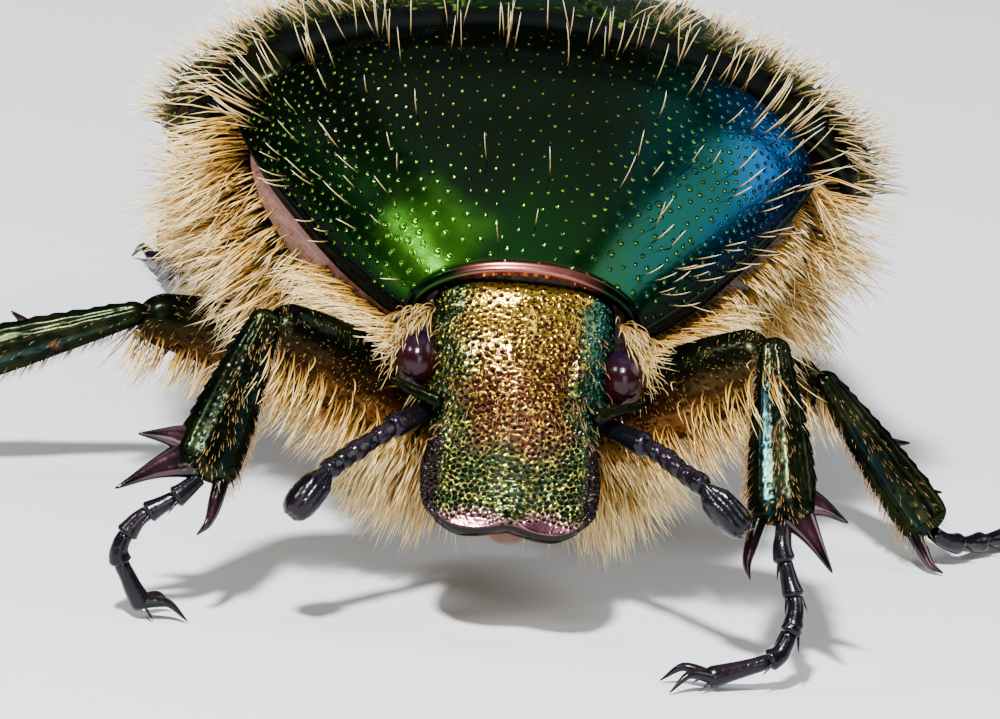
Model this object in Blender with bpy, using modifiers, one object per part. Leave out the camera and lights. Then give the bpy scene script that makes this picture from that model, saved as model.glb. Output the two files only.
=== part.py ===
"""A rose chafer standing on its six feet, life size, as named closed solids.

The beetle faces -Y with +Z up, and the floor is z = 0 under the middle of its box.
Sizes are in millimetres, and MM turns them into Blender's metres where meshes are made.
"""

import math
import random

import bmesh
import bpy
import numpy as np
from mathutils import Matrix, Vector
from mathutils.bvhtree import BVHTree

MM = 0.001
GAP = 0.25  # left between neighbouring pieces
SHELL = 0.5  # thickness of a wing case

# Locks of hair: share of the length, share of the width, share of the thickness
LOCK_THICKNESS = 0.52
LOCK_PROFILE = [(-0.22, 0.8, 0.9), (0.0, 1.0, 1.0), (0.35, 0.95, 1.0), (0.7, 0.66, 0.8), (1.0, 0.16, 0.2)]
LOCK_SHARES = (1.0, 0.75, 0.55)  # lengths tried, until a lock stays clear of its neighbours
COAT_SEED = 7
BRISTLE_ROOT, BRISTLE_TIP = 0.13, 0.05  # radii of a stiff hair that stands on a plate
BRISTLE_SUNK = 0.2
# Directions of the locks on a front coxa: outward, ahead and down
COXA_LOCKS = [(0.15, 0.8, 0.5), (0.6, 0.65, 0.4), (0.95, 0.1, 0.4), (0.35, 0.35, 0.9),
              (0.75, -0.1, 0.8), (0.2, -0.5, 0.9)]

# The trunk's own frame: its origin is the top of the joint between pronotum and wing cases.
JOINT_Y, JOINT_Z = -2.6, 8.1
TRUNK_PITCH = math.radians(-7.0)  # the front is held up

# The prothorax runs forward and down from the joint.
PROTHORAX_LENGTH = 5.35
REAR_BOW = 0.12  # how far forward the hind margin's ends lie
PROTHORAX_REAR_TILT, PROTHORAX_FRONT_TILT = math.radians(-7.0), math.radians(24.0)

# The head's own frame: -Y runs down the face to the clypeus, +Z is the face's normal.
HEAD_Y, HEAD_Z = -8.42, 5.42
HEAD_PITCH = math.radians(68.0)
HEAD_LENGTH = 3.85
CLYPEUS_NOTCH = 0.11


def profile(stations):
    """A smooth function through (position, value) stations that never overshoots them."""
    xs, ys = np.array(stations, float).T
    step = np.diff(xs)
    slope = np.diff(ys) / step
    tangent = np.concatenate([slope[:1], np.zeros(len(xs) - 2), slope[-1:]])
    for k in range(1, len(xs) - 1):
        if slope[k - 1] * slope[k] > 0:
            near, far = 2 * step[k] + step[k - 1], step[k] + 2 * step[k - 1]
            tangent[k] = (near + far) / (near / slope[k - 1] + far / slope[k])

    def value(x):
        x = min(max(x, xs[0]), xs[-1])
        k = min(max(int(np.searchsorted(xs, x)) - 1, 0), len(step) - 1)
        t = (x - xs[k]) / step[k]
        rise = ys[k + 1] - ys[k]
        start, end = tangent[k] * step[k], tangent[k + 1] * step[k]
        bend = t * t * (3 - 2 * t)
        return float(
            ys[k] + rise * bend + start * t * (1 - t) ** 2 - end * t * t * (1 - t)
        )

    return value


# Wing cases and trunk, by distance behind the joint
wing_half_width = profile(
    [(0.3, 4.5), (0.9, 5.35), (1.7, 5.6), (3.8, 5.2), (6.0, 5.15), (8.5, 4.75), (10.4, 3.85),
     (11.5, 2.7), (12.0, 1.6), (12.15, 0.7)]
)
wing_top = profile(
    [(0.3, -0.05), (1.7, 0.1), (3.4, 0.2), (5.0, 0.12), (7.0, -0.2), (9.0, -0.85), (10.4, -1.6),
     (11.5, -2.5), (12.0, -3.1), (12.15, -3.4)]
)
wing_edge = profile(
    [(0.3, -1.7), (0.9, -2.3), (1.7, -2.5), (3.8, -2.72), (6.0, -2.9), (8.5, -3.2), (10.4, -3.5),
     (12.15, -3.8)]
)
belly = profile(
    [(-0.2, -5.6), (0.5, -5.9), (2.0, -6.35), (4.0, -6.6), (6.6, -6.45), (9.0, -5.85),
     (11.0, -4.9), (11.6, -4.5)]
)
scutellum_half_width = profile([(0.3, 1.42), (1.4, 0.95), (2.5, 0.42), (3.0, 0.12)])
SCUTELLUM_END = 3.0
WING_START = 0.3
WING_ROUND = 2.05  # exponent of the wing case's cross-section
COSTA_HEIGHT = 0.12

# Pronotum and underside of the prothorax, by share of its length from rear to front
pronotum_half_width = profile(
    [(0.0, 3.9), (0.05, 4.25), (0.14, 4.4), (0.3, 4.15), (0.5, 3.6), (0.75, 2.77), (0.9, 2.15),
     (1.0, 1.72)]
)
pronotum_top = profile(
    [(0.0, 7.98), (0.12, 7.98), (0.3, 7.75), (0.5, 7.2), (0.75, 6.45), (0.93, 5.8), (1.0, 5.5)]
)
pronotum_edge = profile(
    [(0.0, 6.1), (0.14, 6.1), (0.3, 5.82), (0.5, 5.4), (0.75, 4.9), (1.0, 4.5)]
)
prosternum = profile([(0.0, 3.0), (0.3, 2.75), (0.6, 2.85), (0.85, 3.2), (1.0, 3.55)])
LIP = 0.3  # how far the pronotum's side margin stands over the underside

# Head, by distance from the vertex down the face
head_half_width = profile(
    [(-0.5, 1.0), (-0.2, 1.25), (0.4, 1.38), (1.5, 1.4), (2.1, 1.22), (2.5, 1.27), (2.95, 1.34),
     (3.4, 1.3), (3.7, 1.2), (3.85, 1.05)]
)
head_crown = profile(
    [(-0.5, -1.35), (-0.2, -0.95), (0.15, -0.5), (0.55, -0.15), (1.2, 0.06), (1.8, 0.08),
     (2.4, 0.0), (3.0, -0.1), (3.6, -0.1), (3.85, -0.16)]
)
head_depth = profile(
    [(-0.5, 0.8), (0.15, 1.5), (0.6, 1.9), (1.5, 2.1), (2.3, 1.7), (3.0, 1.0), (3.6, 0.6),
     (3.85, 0.5)]
)

EYE_CENTRE = (1.54, -1.27, -0.68)
EYE_RADII = (0.43, 0.52, 0.58)

COLOURS = {
    "green_shell": ((0.03, 0.16, 0.05), 0.2, 0.9),
    "golden_shell": ((0.35, 0.26, 0.07), 0.3, 0.9),
    "dark_leg": ((0.04, 0.06, 0.035), 0.35, 0.7),
    "horn_black": ((0.03, 0.02, 0.025), 0.35, 0.2),
    "eye": ((0.12, 0.01, 0.015), 0.1, 0.0),
    "hairy_skin": ((0.42, 0.3, 0.13), 0.6, 0.1),
    "mouth": ((0.3, 0.14, 0.04), 0.5, 0.0),
}


def material(slot):
    """The plain finish of a slot, made once."""
    known = bpy.data.materials.get(slot)
    if known:
        return known
    made = bpy.data.materials.new(slot)
    made.use_nodes = True
    colour, roughness, metallic = COLOURS[slot]
    shader = made.node_tree.nodes["Principled BSDF"]
    shader.inputs["Base Color"].default_value = (*colour, 1.0)
    shader.inputs["Roughness"].default_value = roughness
    shader.inputs["Metallic"].default_value = metallic
    return made


def clear_scene():
    for obj in list(bpy.data.objects):
        bpy.data.objects.remove(obj)


def collection(name, hidden=False):
    made = bpy.data.collections.new(name)
    bpy.context.scene.collection.children.link(made)
    made.hide_render = hidden
    return made


def frame_empty(name, y, z, pitch):
    """An empty that carries pieces modelled in a frame of their own."""
    made = bpy.data.objects.new(name, None)
    made.location = (0, y * MM, z * MM)
    made.rotation_euler = (pitch, 0, 0)
    bpy.context.scene.collection.objects.link(made)
    bpy.context.view_layer.update()
    return made


def mesh_piece(name, points, faces):
    """A mesh object from points in millimetres."""
    mesh = bpy.data.meshes.new(name)
    mesh.from_pydata([tuple(c * MM for c in p) for p in points], [], faces)
    mesh.validate()
    made = bpy.data.objects.new(name, mesh)
    SOLIDS.objects.link(made)
    return made


def loft(name, rings):
    """A closed solid through rings that have the same number of points."""
    count = len(rings[0])
    points = [tuple(p) for ring in rings for p in ring]
    faces = []
    for k in range(len(rings) - 1):
        for i in range(count):
            j = (i + 1) % count
            faces.append(
                (k * count + i, k * count + j, (k + 1) * count + j, (k + 1) * count + i)
            )
    last = (len(rings) - 1) * count
    for start, order in ((0, -1), (last, 1)):
        middle = len(points)
        points.append(tuple(np.mean(points[start : start + count], axis=0)))
        for i in range(count):
            j = (i + 1) % count
            ends = (start + i, start + j)[::order]
            faces.append((middle, *ends))
    made = mesh_piece(name, points, faces)
    face_outward(made.data)
    return made


def face_outward(mesh):
    edit = bmesh.new()
    edit.from_mesh(mesh)
    bmesh.ops.recalc_face_normals(edit, faces=edit.faces)
    edit.to_mesh(mesh)
    edit.free()


def power(value, exponent):
    return math.copysign(abs(value) ** exponent, value)


def limb(name, stations, broad, sides=8):
    """A flattened limb: stations are (centre, half breadth, half thickness), and broad is
    the direction that its breadth lies along."""
    centres = [Vector(s[0]) for s in stations]
    rings = []
    for k, (_, breadth, thickness) in enumerate(stations):
        along = (centres[min(k + 1, len(centres) - 1)] - centres[max(k - 1, 0)]).normalized()
        across = (Vector(broad) - along * along.dot(Vector(broad))).normalized()
        up = along.cross(across)
        rings.append(
            [
                centres[k]
                + across * breadth * math.cos(2 * math.pi * (i + 0.5) / sides)
                + up * thickness * math.sin(2 * math.pi * (i + 0.5) / sides)
                for i in range(sides)
            ]
        )
    return loft(name, rings)


def smooth_route(points, radii, per_span):
    """Points and radii along a smooth curve through the given ones."""
    count = len(points)
    keys = list(range(count))
    routes = [profile(list(zip(keys, [p[c] for p in points]))) for c in range(3)]
    thick = profile(list(zip(keys, radii)))
    at = np.linspace(0, count - 1, (count - 1) * per_span + 1)
    return [Vector([route(t) for route in routes]) for t in at], [thick(t) for t in at]


def tube(name, points, radii, per_span=2, resolution=1):
    """A tapered round tube along a smooth route, as a closed mesh."""
    route, thick = smooth_route(points, radii, per_span)
    curve = bpy.data.curves.new(name, "CURVE")
    curve.dimensions = "3D"
    curve.bevel_depth = MM
    curve.bevel_resolution = resolution
    curve.use_fill_caps = True
    spline = curve.splines.new("POLY")
    spline.points.add(len(route) - 1)
    for point, place, radius in zip(spline.points, route, thick):
        point.co = (*(place * MM), 1)
        point.radius = radius
    line = bpy.data.objects.new(name, curve)
    SOLIDS.objects.link(line)
    made = as_mesh(line)
    edit = bmesh.new()
    edit.from_mesh(made.data)
    bmesh.ops.remove_doubles(edit, verts=edit.verts, dist=1e-7)
    bmesh.ops.recalc_face_normals(edit, faces=edit.faces)
    edit.to_mesh(made.data)
    edit.free()
    return made


def as_mesh(obj):
    """Replaces an object by a plain mesh object of what it evaluates to."""
    bpy.context.view_layer.update()
    graph = bpy.context.evaluated_depsgraph_get()
    mesh = bpy.data.meshes.new_from_object(obj.evaluated_get(graph))
    made = bpy.data.objects.new(obj.name, mesh)
    made.matrix_world = obj.matrix_world.copy()
    SOLIDS.objects.link(made)
    name = obj.name
    bpy.data.objects.remove(obj)
    made.name = name
    return made


def ellipsoid(name, centre, radii, segments=14, rings=9):
    made = mesh_piece(name, [(0, 0, 0)], [])
    edit = bmesh.new()
    bmesh.ops.create_uvsphere(edit, u_segments=segments, v_segments=rings, radius=1.0)
    place = Matrix.Translation(Vector(centre) * MM) @ Matrix.Diagonal((*(r * MM for r in radii), 1))
    bmesh.ops.transform(edit, matrix=place, verts=edit.verts)
    edit.to_mesh(made.data)
    edit.free()
    return made


def carried(obj, frame):
    """Puts a piece that was modelled in a frame of its own where that frame stands."""
    obj.parent = frame
    bpy.context.view_layer.update()
    return obj


def in_place(obj):
    """Bakes the frame's place into the mesh, so that pieces of several frames can join."""
    bpy.context.view_layer.update()
    world = obj.matrix_world.copy()
    obj.parent = None
    obj.data.transform(world)
    obj.matrix_world = Matrix.Identity(4)
    return obj


def keep_largest(mesh):
    """Leaves only the closed surface that encloses most, so that no scrap or sealed hollow stays."""
    edit = bmesh.new()
    edit.from_mesh(mesh)
    left = set(edit.verts)
    bodies = []
    while left:
        stack = [left.pop()]
        body = set(stack)
        while stack:
            for edge in stack.pop().link_edges:
                for vert in edge.verts:
                    if vert in left:
                        left.discard(vert)
                        body.add(vert)
                        stack.append(vert)
        bodies.append(body)
    if len(bodies) > 1:
        def enclosed(body):
            faces = {face for vert in body for face in vert.link_faces}
            return sum(
                face.calc_center_median().dot(face.normal) * face.calc_area() for face in faces
            )

        largest = max(bodies, key=enclosed)
        bmesh.ops.delete(
            edit, geom=[v for v in edit.verts if v not in largest], context="VERTS"
        )
    edit.to_mesh(mesh)
    edit.free()


def boolean(obj, others, operation, solver="EXACT"):
    """Joins or cuts a piece by other closed pieces, which are then removed."""
    if not others:
        return obj
    tools = collection("tools", hidden=True)
    for other in others:
        SOLIDS.objects.unlink(other)
        tools.objects.link(other)
    modifier = obj.modifiers.new("fuse", "BOOLEAN")
    modifier.operation = operation
    modifier.operand_type = "COLLECTION"
    modifier.collection = tools
    modifier.solver = solver
    made = as_mesh(obj)
    for other in others:
        bpy.data.objects.remove(other)
    bpy.data.collections.remove(tools)
    keep_largest(made.data)
    return made


def fuse(obj, others, solver="EXACT"):
    return boolean(obj, others, "UNION", solver)


def cut(obj, others, solver="EXACT"):
    return boolean(obj, others, "DIFFERENCE", solver)


def finish(obj, slot, smooth_angle=50.0):
    obj.data.materials.clear()
    obj.data.materials.append(material(slot))
    obj.data.shade_smooth()
    obj.data.set_sharp_from_angle(angle=math.radians(smooth_angle))
    return obj


# Trunk

def trunk_point(y, angle, inset=0.0):
    """A point of the trunk under the wing cases. Angle 0 is the beetle's left side and 90 the back."""
    half_width = wing_half_width(max(y, 1.3)) - SHELL - GAP - 0.05 - inset
    middle = wing_edge(y) - 0.35
    if y < 1.3:
        half_width = min(half_width, 4.05 + 0.4 * y - inset)
    top = min(wing_top(max(y, WING_START)) - SHELL - GAP - 0.08, -0.9) - inset
    x = half_width * power(math.cos(angle), 2 / 2.2)
    if angle > math.pi:
        x = half_width * power(math.cos(angle), 2 / 1.9)
        return Vector((x, y, middle + (middle - belly(y) - inset) * power(math.sin(angle), 2 / 1.9)))
    return Vector((x, y, middle + (top - middle) * power(math.sin(angle), 2 / 2.2)))


def trunk_loft(name, stations, sides=26):
    """Stations are (distance behind the joint, inset)."""
    angles = [2 * math.pi * (i + 0.5) / sides for i in range(sides)]
    return loft(name, [[trunk_point(y, a, inset) for a in angles] for y, inset in stations])


def wing_surface(y, share):
    """A point of a wing case's outer face: share 0 is the inner edge and 1 the side edge."""
    half_width, top, edge = wing_half_width(y), wing_top(y), wing_edge(y)
    inner = GAP / 2
    if y < SCUTELLUM_END + 0.25:
        inner += scutellum_half_width(y) + 0.1
    start = math.asin(min(0.98, (inner / half_width) ** (WING_ROUND / 2)))
    angle = start + (math.pi / 2 - start) * share
    x = half_width * math.sin(angle) ** (2 / WING_ROUND)
    z = edge + (top - edge) * max(math.cos(angle), 0.0) ** (2 / WING_ROUND)
    behind = max(0.0, min(1.0, (y - 4.0) / 2.0)) * max(0.0, min(1.0, (11.0 - y) / 1.5))
    costa = math.exp(-(((x - 0.52 * half_width) / 0.4) ** 2))
    trough = math.exp(-(((x - 0.24 * half_width) / 0.5) ** 2))
    return Vector((x, y, z + COSTA_HEIGHT * behind * (costa - trough)))


def wing_case(name, side):
    """A thin curved shell, open where the scutellum lies."""
    along = [0.3, 0.6, 1.0, 1.6, 2.3, 3.1, 4.0, 5.0, 6.0, 7.0, 8.0, 9.0, 9.9, 10.7, 11.3, 11.75,
             12.02, 12.15]
    across = 11
    points, faces = [], []
    for y in along:
        for j in range(across):
            p = wing_surface(y, j / (across - 1))
            points.append((side * p.x, p.y, p.z))
    for k in range(len(along) - 1):
        for j in range(across - 1):
            a = k * across + j
            quad = (a, a + across, a + across + 1, a + 1)
            faces.append(quad if side < 0 else quad[::-1])
    made = mesh_piece(name, points, faces)
    if made.data.polygons[40].normal.z < 0:
        made.data.flip_normals()
    shell = made.modifiers.new("shell", "SOLIDIFY")
    shell.thickness = SHELL * MM
    shell.offset = -1
    shell.use_even_offset = True
    shell.thickness_clamp = 1.0
    return in_place(carried(as_mesh(made), TRUNK))


def make_scutellum():
    """The small triangular plate between the bases of the wing cases."""
    along = [0.3, 0.8, 1.4, 2.0, 2.5, 2.85, SCUTELLUM_END]
    across = 7
    points, faces = [], []
    for y in along:
        half = scutellum_half_width(y)
        for j in range(across):
            x = half * (2 * j / (across - 1) - 1)
            points.append((x, y, wing_top(y) - 0.02 - 0.05 * x * x))
    for k in range(len(along) - 1):
        for j in range(across - 1):
            a = k * across + j
            faces.append((a, a + 1, a + across + 1, a + across))
    made = mesh_piece("scutellum", points, faces)
    plate = made.modifiers.new("plate", "SOLIDIFY")
    plate.thickness = SHELL * MM
    plate.offset = -1
    return finish(carried(as_mesh(made), TRUNK), "green_shell")


# Stations of the thorax: distance behind the joint, and how far inside the trunk's outline.
THORAX_STATIONS = [(-0.02, 0.5), (0.25, 0.0), (0.8, 0.0), (1.5, 0.0), (2.4, 0.0), (3.4, 0.0),
                   (4.4, 0.0), (5.4, 0.0), (6.2, 0.0), (6.55, 0.2)]


def make_abdomen(sockets):
    """Five visible belly plates, each stepped over the next, hollowed for the hind coxae."""
    stations = [(6.85, 0.25)]
    for k in range(5):
        front = 6.95 + 0.84 * k
        stations += [(front, 0.0), (front + 0.68, 0.04), (front + 0.75, 0.14)]
    made = in_place(carried(trunk_loft("abdomen", stations + [(11.15, 0.3)]), TRUNK))
    return finish(cut(made, sockets), "dark_leg")


def make_pygidium():
    """The convex last plate, seen behind the wing cases."""
    made = ellipsoid("pygidium", (0, 0, 0), (2.05, 0.34, 0.85), 16, 9)
    made.data.transform(Matrix.Rotation(math.radians(-28), 4, "X"))
    made.data.transform(Matrix.Translation(Vector((0, 11.85, -4.75)) * MM))
    return finish(carried(made, TRUNK), "green_shell")


# Prothorax

def prothorax_point(share, angle, grow=0.0):
    """A point of the prothorax. Share 0 is its rear, 1 its front; angle 0 is its left margin."""
    half_width, top = pronotum_half_width(share) + grow, pronotum_top(share) + grow
    edge, bottom = pronotum_edge(share), prosternum(share) - grow
    tilt = PROTHORAX_REAR_TILT + share * (PROTHORAX_FRONT_TILT - PROTHORAX_REAR_TILT)
    if angle <= math.pi:
        x = half_width * power(math.cos(angle), 2 / 2.1)
        z = edge + (top - edge) * power(math.sin(angle), 2 / 2.1)
    else:
        x = (half_width - LIP) * power(math.cos(angle), 2 / 1.7)
        z = edge - LIP + (edge - LIP - bottom) * power(math.sin(angle), 2 / 1.7)
    y = JOINT_Y - 0.22 - PROTHORAX_LENGTH * share + (top - z) * math.tan(tilt)
    rear = (1 - share) ** 3
    y -= rear * REAR_BOW * (x / 4.0) ** 2
    return Vector((x, y, z))


def prothorax_angles(sides):
    """Angles evenly round the ring, with one exactly on each margin above and below its lip."""
    upper = [math.pi * i / (sides // 2) for i in range(sides // 2 + 1)]
    lower = [math.pi + math.pi * i / (sides // 2 - 2) for i in range(sides // 2 - 1)]
    lower[0] += 1e-6
    lower[-1] -= 1e-6
    return upper + lower


# Head

def head_point(distance, angle, grow=0.0):
    """A point of the head by distance down the face. Angle 90 is the middle of the face."""
    half_width = head_half_width(distance) + grow
    crown = head_crown(distance) + grow
    depth = head_depth(distance) + 2 * grow
    square = 2 / 3.2 if distance > 2.2 else 2 / 2.5
    x = half_width * power(math.cos(angle), square)
    z = crown - depth / 2 + depth / 2 * power(math.sin(angle), square)
    y = -distance
    if distance > 3.3:
        share = min(1.0, (distance - 3.3) / (HEAD_LENGTH - 3.3))
        y += share * CLYPEUS_NOTCH * math.exp(-((x / 0.3) ** 2))
    return Vector((x, y, z))


def head_loft(name, grow=0.0):
    distances = [-0.5 - grow, -0.25, 0.1, 0.5, 1.0, 1.5, 1.9, 2.2, 2.6, 3.0, 3.35, 3.62, 3.78,
                 HEAD_LENGTH + grow]
    sides = 22
    angles = [2 * math.pi * i / sides for i in range(sides)]
    return loft(name, [[head_point(d, a, grow) for a in angles] for d in distances])


def clypeus_rim():
    """The raised margin round the front of the face, with its two lobes."""
    places = []
    for k in range(13):
        across = 1 - 2 * k / 12
        x = 1.17 * power(math.sin(across * math.pi / 2), 0.85)
        front = HEAD_LENGTH - 0.02 - 0.6 * abs(across) ** 5
        front -= CLYPEUS_NOTCH * math.exp(-((x / 0.3) ** 2))
        places.append((x, -front, -0.2 - 0.05 * abs(across) ** 3))
    return tube("clypeus_rim", places, [0.16] + [0.24] * 11 + [0.16], per_span=1, resolution=1)


def canthus(side, grow=0.0):
    """The ridge of the cheek that runs out across the front of the eye."""
    stations = [((0.9, -2.0, -0.35), 0.34), ((1.35, -2.12, -0.4), 0.26), ((1.82, -2.1, -0.5), 0.16)]
    return limb(
        "canthus",
        [((side * x, y, z), size + grow, size * 0.85 + grow) for (x, y, z), size in stations],
        broad=(0, 0, 1),
        sides=6,
    )


def make_eye(name, side):
    x, y, z = EYE_CENTRE
    return finish(carried(ellipsoid(name, (side * x, y, z), EYE_RADII), HEAD), "eye")


def eye_socket(side):
    x, y, z = EYE_CENTRE
    return ellipsoid("socket", (side * x, y, z), [r + GAP for r in EYE_RADII], 16, 10)


def make_head():
    made = head_loft("head")
    made = fuse(made, [clypeus_rim(), canthus(-1), canthus(1)])
    made = cut(made, [eye_socket(-1), eye_socket(1)])
    return finish(carried(made, HEAD), "golden_shell", 35)


def make_mouthparts():
    """Chin plate, jaws' brushes and feelers, tucked under the face."""
    chin = ellipsoid("mouthparts", (0, -2.55, -1.75), (0.75, 0.75, 0.42), 12, 8)
    pieces = []
    for side in (-1, 1):
        pieces.append(
            tube(
                "palp",
                [(side * 0.45, -2.7, -1.8), (side * 0.75, -3.1, -1.75), (side * 0.85, -3.55, -1.5)],
                [0.25, 0.24, 0.16],
            )
        )
    made = cut(fuse(chin, pieces), [head_loft("clearance", GAP)])
    return finish(carried(made, HEAD), "mouth")


def make_antenna(name, stalk, club):
    """Stalk and three-leaved club, closed, along points of the model's frame."""
    stem = tube(name, stalk, [0.27, 0.3, 0.26, 0.23, 0.24, 0.26], per_span=2, resolution=1)
    start, end = Vector(club[0]), Vector(club[1])
    middle = start.lerp(end, 0.5)
    across = Vector((0.55, -0.8, 0.2))
    leaves = limb(
        "club",
        [
            (start - (end - start) * 0.12, 0.16, 0.14),
            (start, 0.23, 0.22),
            (start.lerp(middle, 0.6), 0.29, 0.27),
            (middle.lerp(end, 0.4), 0.31, 0.28),
            (middle.lerp(end, 0.8), 0.25, 0.23),
            (end, 0.11, 0.11),
        ],
        broad=across,
        sides=8,
    )
    return fuse(stem, [leaves])


# Legs

class Leg:
    """Places of one leg's joints in the model's frame, and its breadths."""

    def __init__(self, coxa, coxa_radii, root, knee, ankle, foot, femur, tibia, outward, teeth, spur_turn):
        self.coxa, self.coxa_radii = Vector(coxa), coxa_radii
        self.root, self.knee, self.ankle = Vector(root), Vector(knee), Vector(ankle)
        self.foot = [Vector(p) for p in foot]
        self.femur, self.tibia = femur, tibia
        self.outward, self.teeth, self.spur_turn = Vector(outward), teeth, spur_turn


SPUR_LENGTH = 1.1
SPUR_GAP = 0.18  # left between a foot and the teeth and spur beside its root
# Each tooth is (share of the shin's length, reach outward, reach towards the foot, root radius).
# The left front shin is turned towards the viewer, so that its last tooth points down.
FRONT_RIGHT_TEETH = [(1.0, 0.98, 0.72, 0.26), (0.87, 0.98, 0.14, 0.26), (0.6, 0.4, 0.02, 0.24)]
FRONT_LEFT_TEETH = [(1.0, 0.56, 0.78, 0.26), (0.93, 0.84, 0.22, 0.26), (0.6, 0.4, 0.02, 0.24)]
REAR_TEETH = [(0.5, 0.48, 0.09, 0.24)]
SPUR_TURN = 0.18  # how far a spur's tip turns inward

LEGS = {
    "front_right": Leg(
        (-1.15, -6.15, 2.75), (0.8, 0.75, 0.95), (-1.35, -6.75, 2.75), (-3.85, -8.15, 4.3),
        (-4.62, -9.55, 2.2),
        [(-4.9, -9.7, 1.95), (-5.5, -9.8, 1.5), (-5.7, -9.85, 1.05), (-5.5, -9.8, 0.6),
         (-5.25, -9.7, 0.17)],
        0.66, 0.5, (-1.0, -0.1, 0.35), FRONT_RIGHT_TEETH, 0.0,
    ),
    "front_left": Leg(
        (1.15, -6.15, 2.75), (0.8, 0.75, 0.95), (1.45, -6.75, 2.85), (3.75, -8.15, 4.62),
        (4.08, -9.6, 2.35),
        [(4.08, -9.82, 2.1), (4.22, -9.98, 1.65), (4.36, -10.2, 1.2), (4.2, -10.4, 0.62),
         (3.1, -10.65, 0.17)],
        0.66, 0.5, (1.0, -0.1, 0.1), FRONT_LEFT_TEETH, 0.24,
    ),
    "middle_right": Leg(
        (-1.5, -1.1, 2.05), (0.95, 0.7, 0.8), (-2.0, -1.25, 1.9), (-5.7, -2.55, 2.75),
        (-9.0, -3.0, 1.6),
        [(-9.2, -3.05, 1.4), (-9.5, -3.2, 1.05), (-9.72, -3.35, 0.7), (-9.9, -3.5, 0.42),
         (-10.15, -3.7, 0.17)],
        0.58, 0.4, (-0.2, 0.2, 1.0), REAR_TEETH, SPUR_TURN,
    ),
    "middle_left": Leg(
        (1.5, -1.1, 2.05), (0.95, 0.7, 0.8), (2.0, -1.25, 1.9), (5.1, -2.15, 2.6),
        (6.95, -3.0, 0.6),
        [(7.2, -2.8, 0.42), (7.75, -2.1, 0.24), (8.35, -1.4, 0.2), (9.05, -0.8, 0.18),
         (9.85, -0.35, 0.17)],
        0.58, 0.4, (0.8, 0.3, 0.6), REAR_TEETH, SPUR_TURN,
    ),
    "hind_right": Leg(
        (-2.0, 3.2, 1.7), (1.35, 0.7, 0.62), (-2.9, 3.5, 1.55), (-4.85, 4.95, 2.75),
        (-5.0, 8.1, 1.0),
        [(-5.0, 8.35, 0.85), (-5.02, 8.95, 0.55), (-5.06, 9.55, 0.3), (-5.14, 10.15, 0.2),
         (-5.25, 10.75, 0.17)],
        0.62, 0.45, (-0.5, 0.1, 1.0), REAR_TEETH, SPUR_TURN,
    ),
    "hind_left": Leg(
        (2.0, 3.2, 1.7), (1.35, 0.7, 0.62), (2.9, 3.5, 1.55), (4.9, 4.85, 2.7),
        (5.15, 7.95, 1.0),
        [(5.17, 8.2, 0.85), (5.22, 8.8, 0.55), (5.3, 9.4, 0.3), (5.42, 10.0, 0.2),
         (5.6, 10.6, 0.17)],
        0.62, 0.45, (0.5, 0.1, 1.0), REAR_TEETH, SPUR_TURN,
    ),
}


def coxa_solid(name, leg, grow=0.0):
    return ellipsoid(name, leg.coxa, [r + grow for r in leg.coxa_radii], 12, 8)


def coxa_sockets(pair):
    """Cutters for the hollows that a pair of coxae sits in."""
    return [coxa_solid("socket", LEGS[pair + side], GAP) for side in ("_right", "_left")]


def femur_solid(name, leg, grow=0.0):
    """The thigh, widest at its middle, with a rounded knee end."""
    along = (leg.knee - leg.root).normalized()
    root, knee = leg.root - along * grow, leg.knee + along * (grow - 0.22)
    shares = [(0.0, 0.5), (0.06, 0.72), (0.22, 0.92), (0.45, 1.0), (0.68, 0.92), (0.86, 0.74),
              (0.95, 0.6), (1.0, 0.34)]
    stations = [
        (root.lerp(knee, t), leg.femur * k + grow, leg.femur * k * 0.72 + grow) for t, k in shares
    ]
    return limb(name, stations, (0, 0, 1), 8)


def tibia_shaft(name, leg, grow=0.0):
    """The shin's shaft, which starts inside the knee and broadens to its end."""
    along = (leg.ankle - leg.knee).normalized()
    knee, ankle = leg.knee - along * 0.12, leg.ankle + along * grow
    shares = [(0.0, 0.5), (0.1, 0.6), (0.35, 0.74), (0.65, 0.92), (0.88, 1.0), (1.0, 0.84)]
    stations = [
        (knee.lerp(ankle, t), leg.tibia * k + grow, max(0.25, leg.tibia * k * 0.62) + grow)
        for t, k in shares
    ]
    return limb(name, stations, leg.outward, 8)


def tibia_forms(leg, grow=0.0):
    """The shin's shaft, the teeth on its outer edge and the spur at its tip, unjoined."""
    along = (leg.ankle - leg.knee).normalized()
    outward = (leg.outward - along * along.dot(leg.outward)).normalized()
    forms = [tibia_shaft("tibia", leg, grow)]
    grow = min(grow, SPUR_GAP)
    for share, reach, lean, size in leg.teeth:
        base = leg.knee.lerp(leg.ankle, share) + outward * leg.tibia * 0.35
        tip = base + outward * reach + along * lean
        bend = base.lerp(tip, 0.55) - along * 0.07
        radii = [size + grow, size * 0.62 + grow, 0.07 + grow]
        forms.append(tube("tooth", [base, bend, tip], radii, 1, 1))
    base = leg.ankle - along * 0.25 - outward * leg.tibia * 0.62
    tip = base + along * SPUR_LENGTH - outward * leg.spur_turn
    radii = [0.22 + grow, 0.16 + grow, 0.07 + grow]
    forms.append(tube("spur", [base, base.lerp(tip, 0.5), tip], radii, 1, 1))
    return forms


def make_tibia(name, leg):
    """The shin, joined, and clear of the knee."""
    shaft, *growths = tibia_forms(leg)
    shaft.name = name
    made = fuse(shaft, growths)
    return finish(cut(made, [femur_solid("clearance", leg, GAP), floor_slab()]), "dark_leg")


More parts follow.
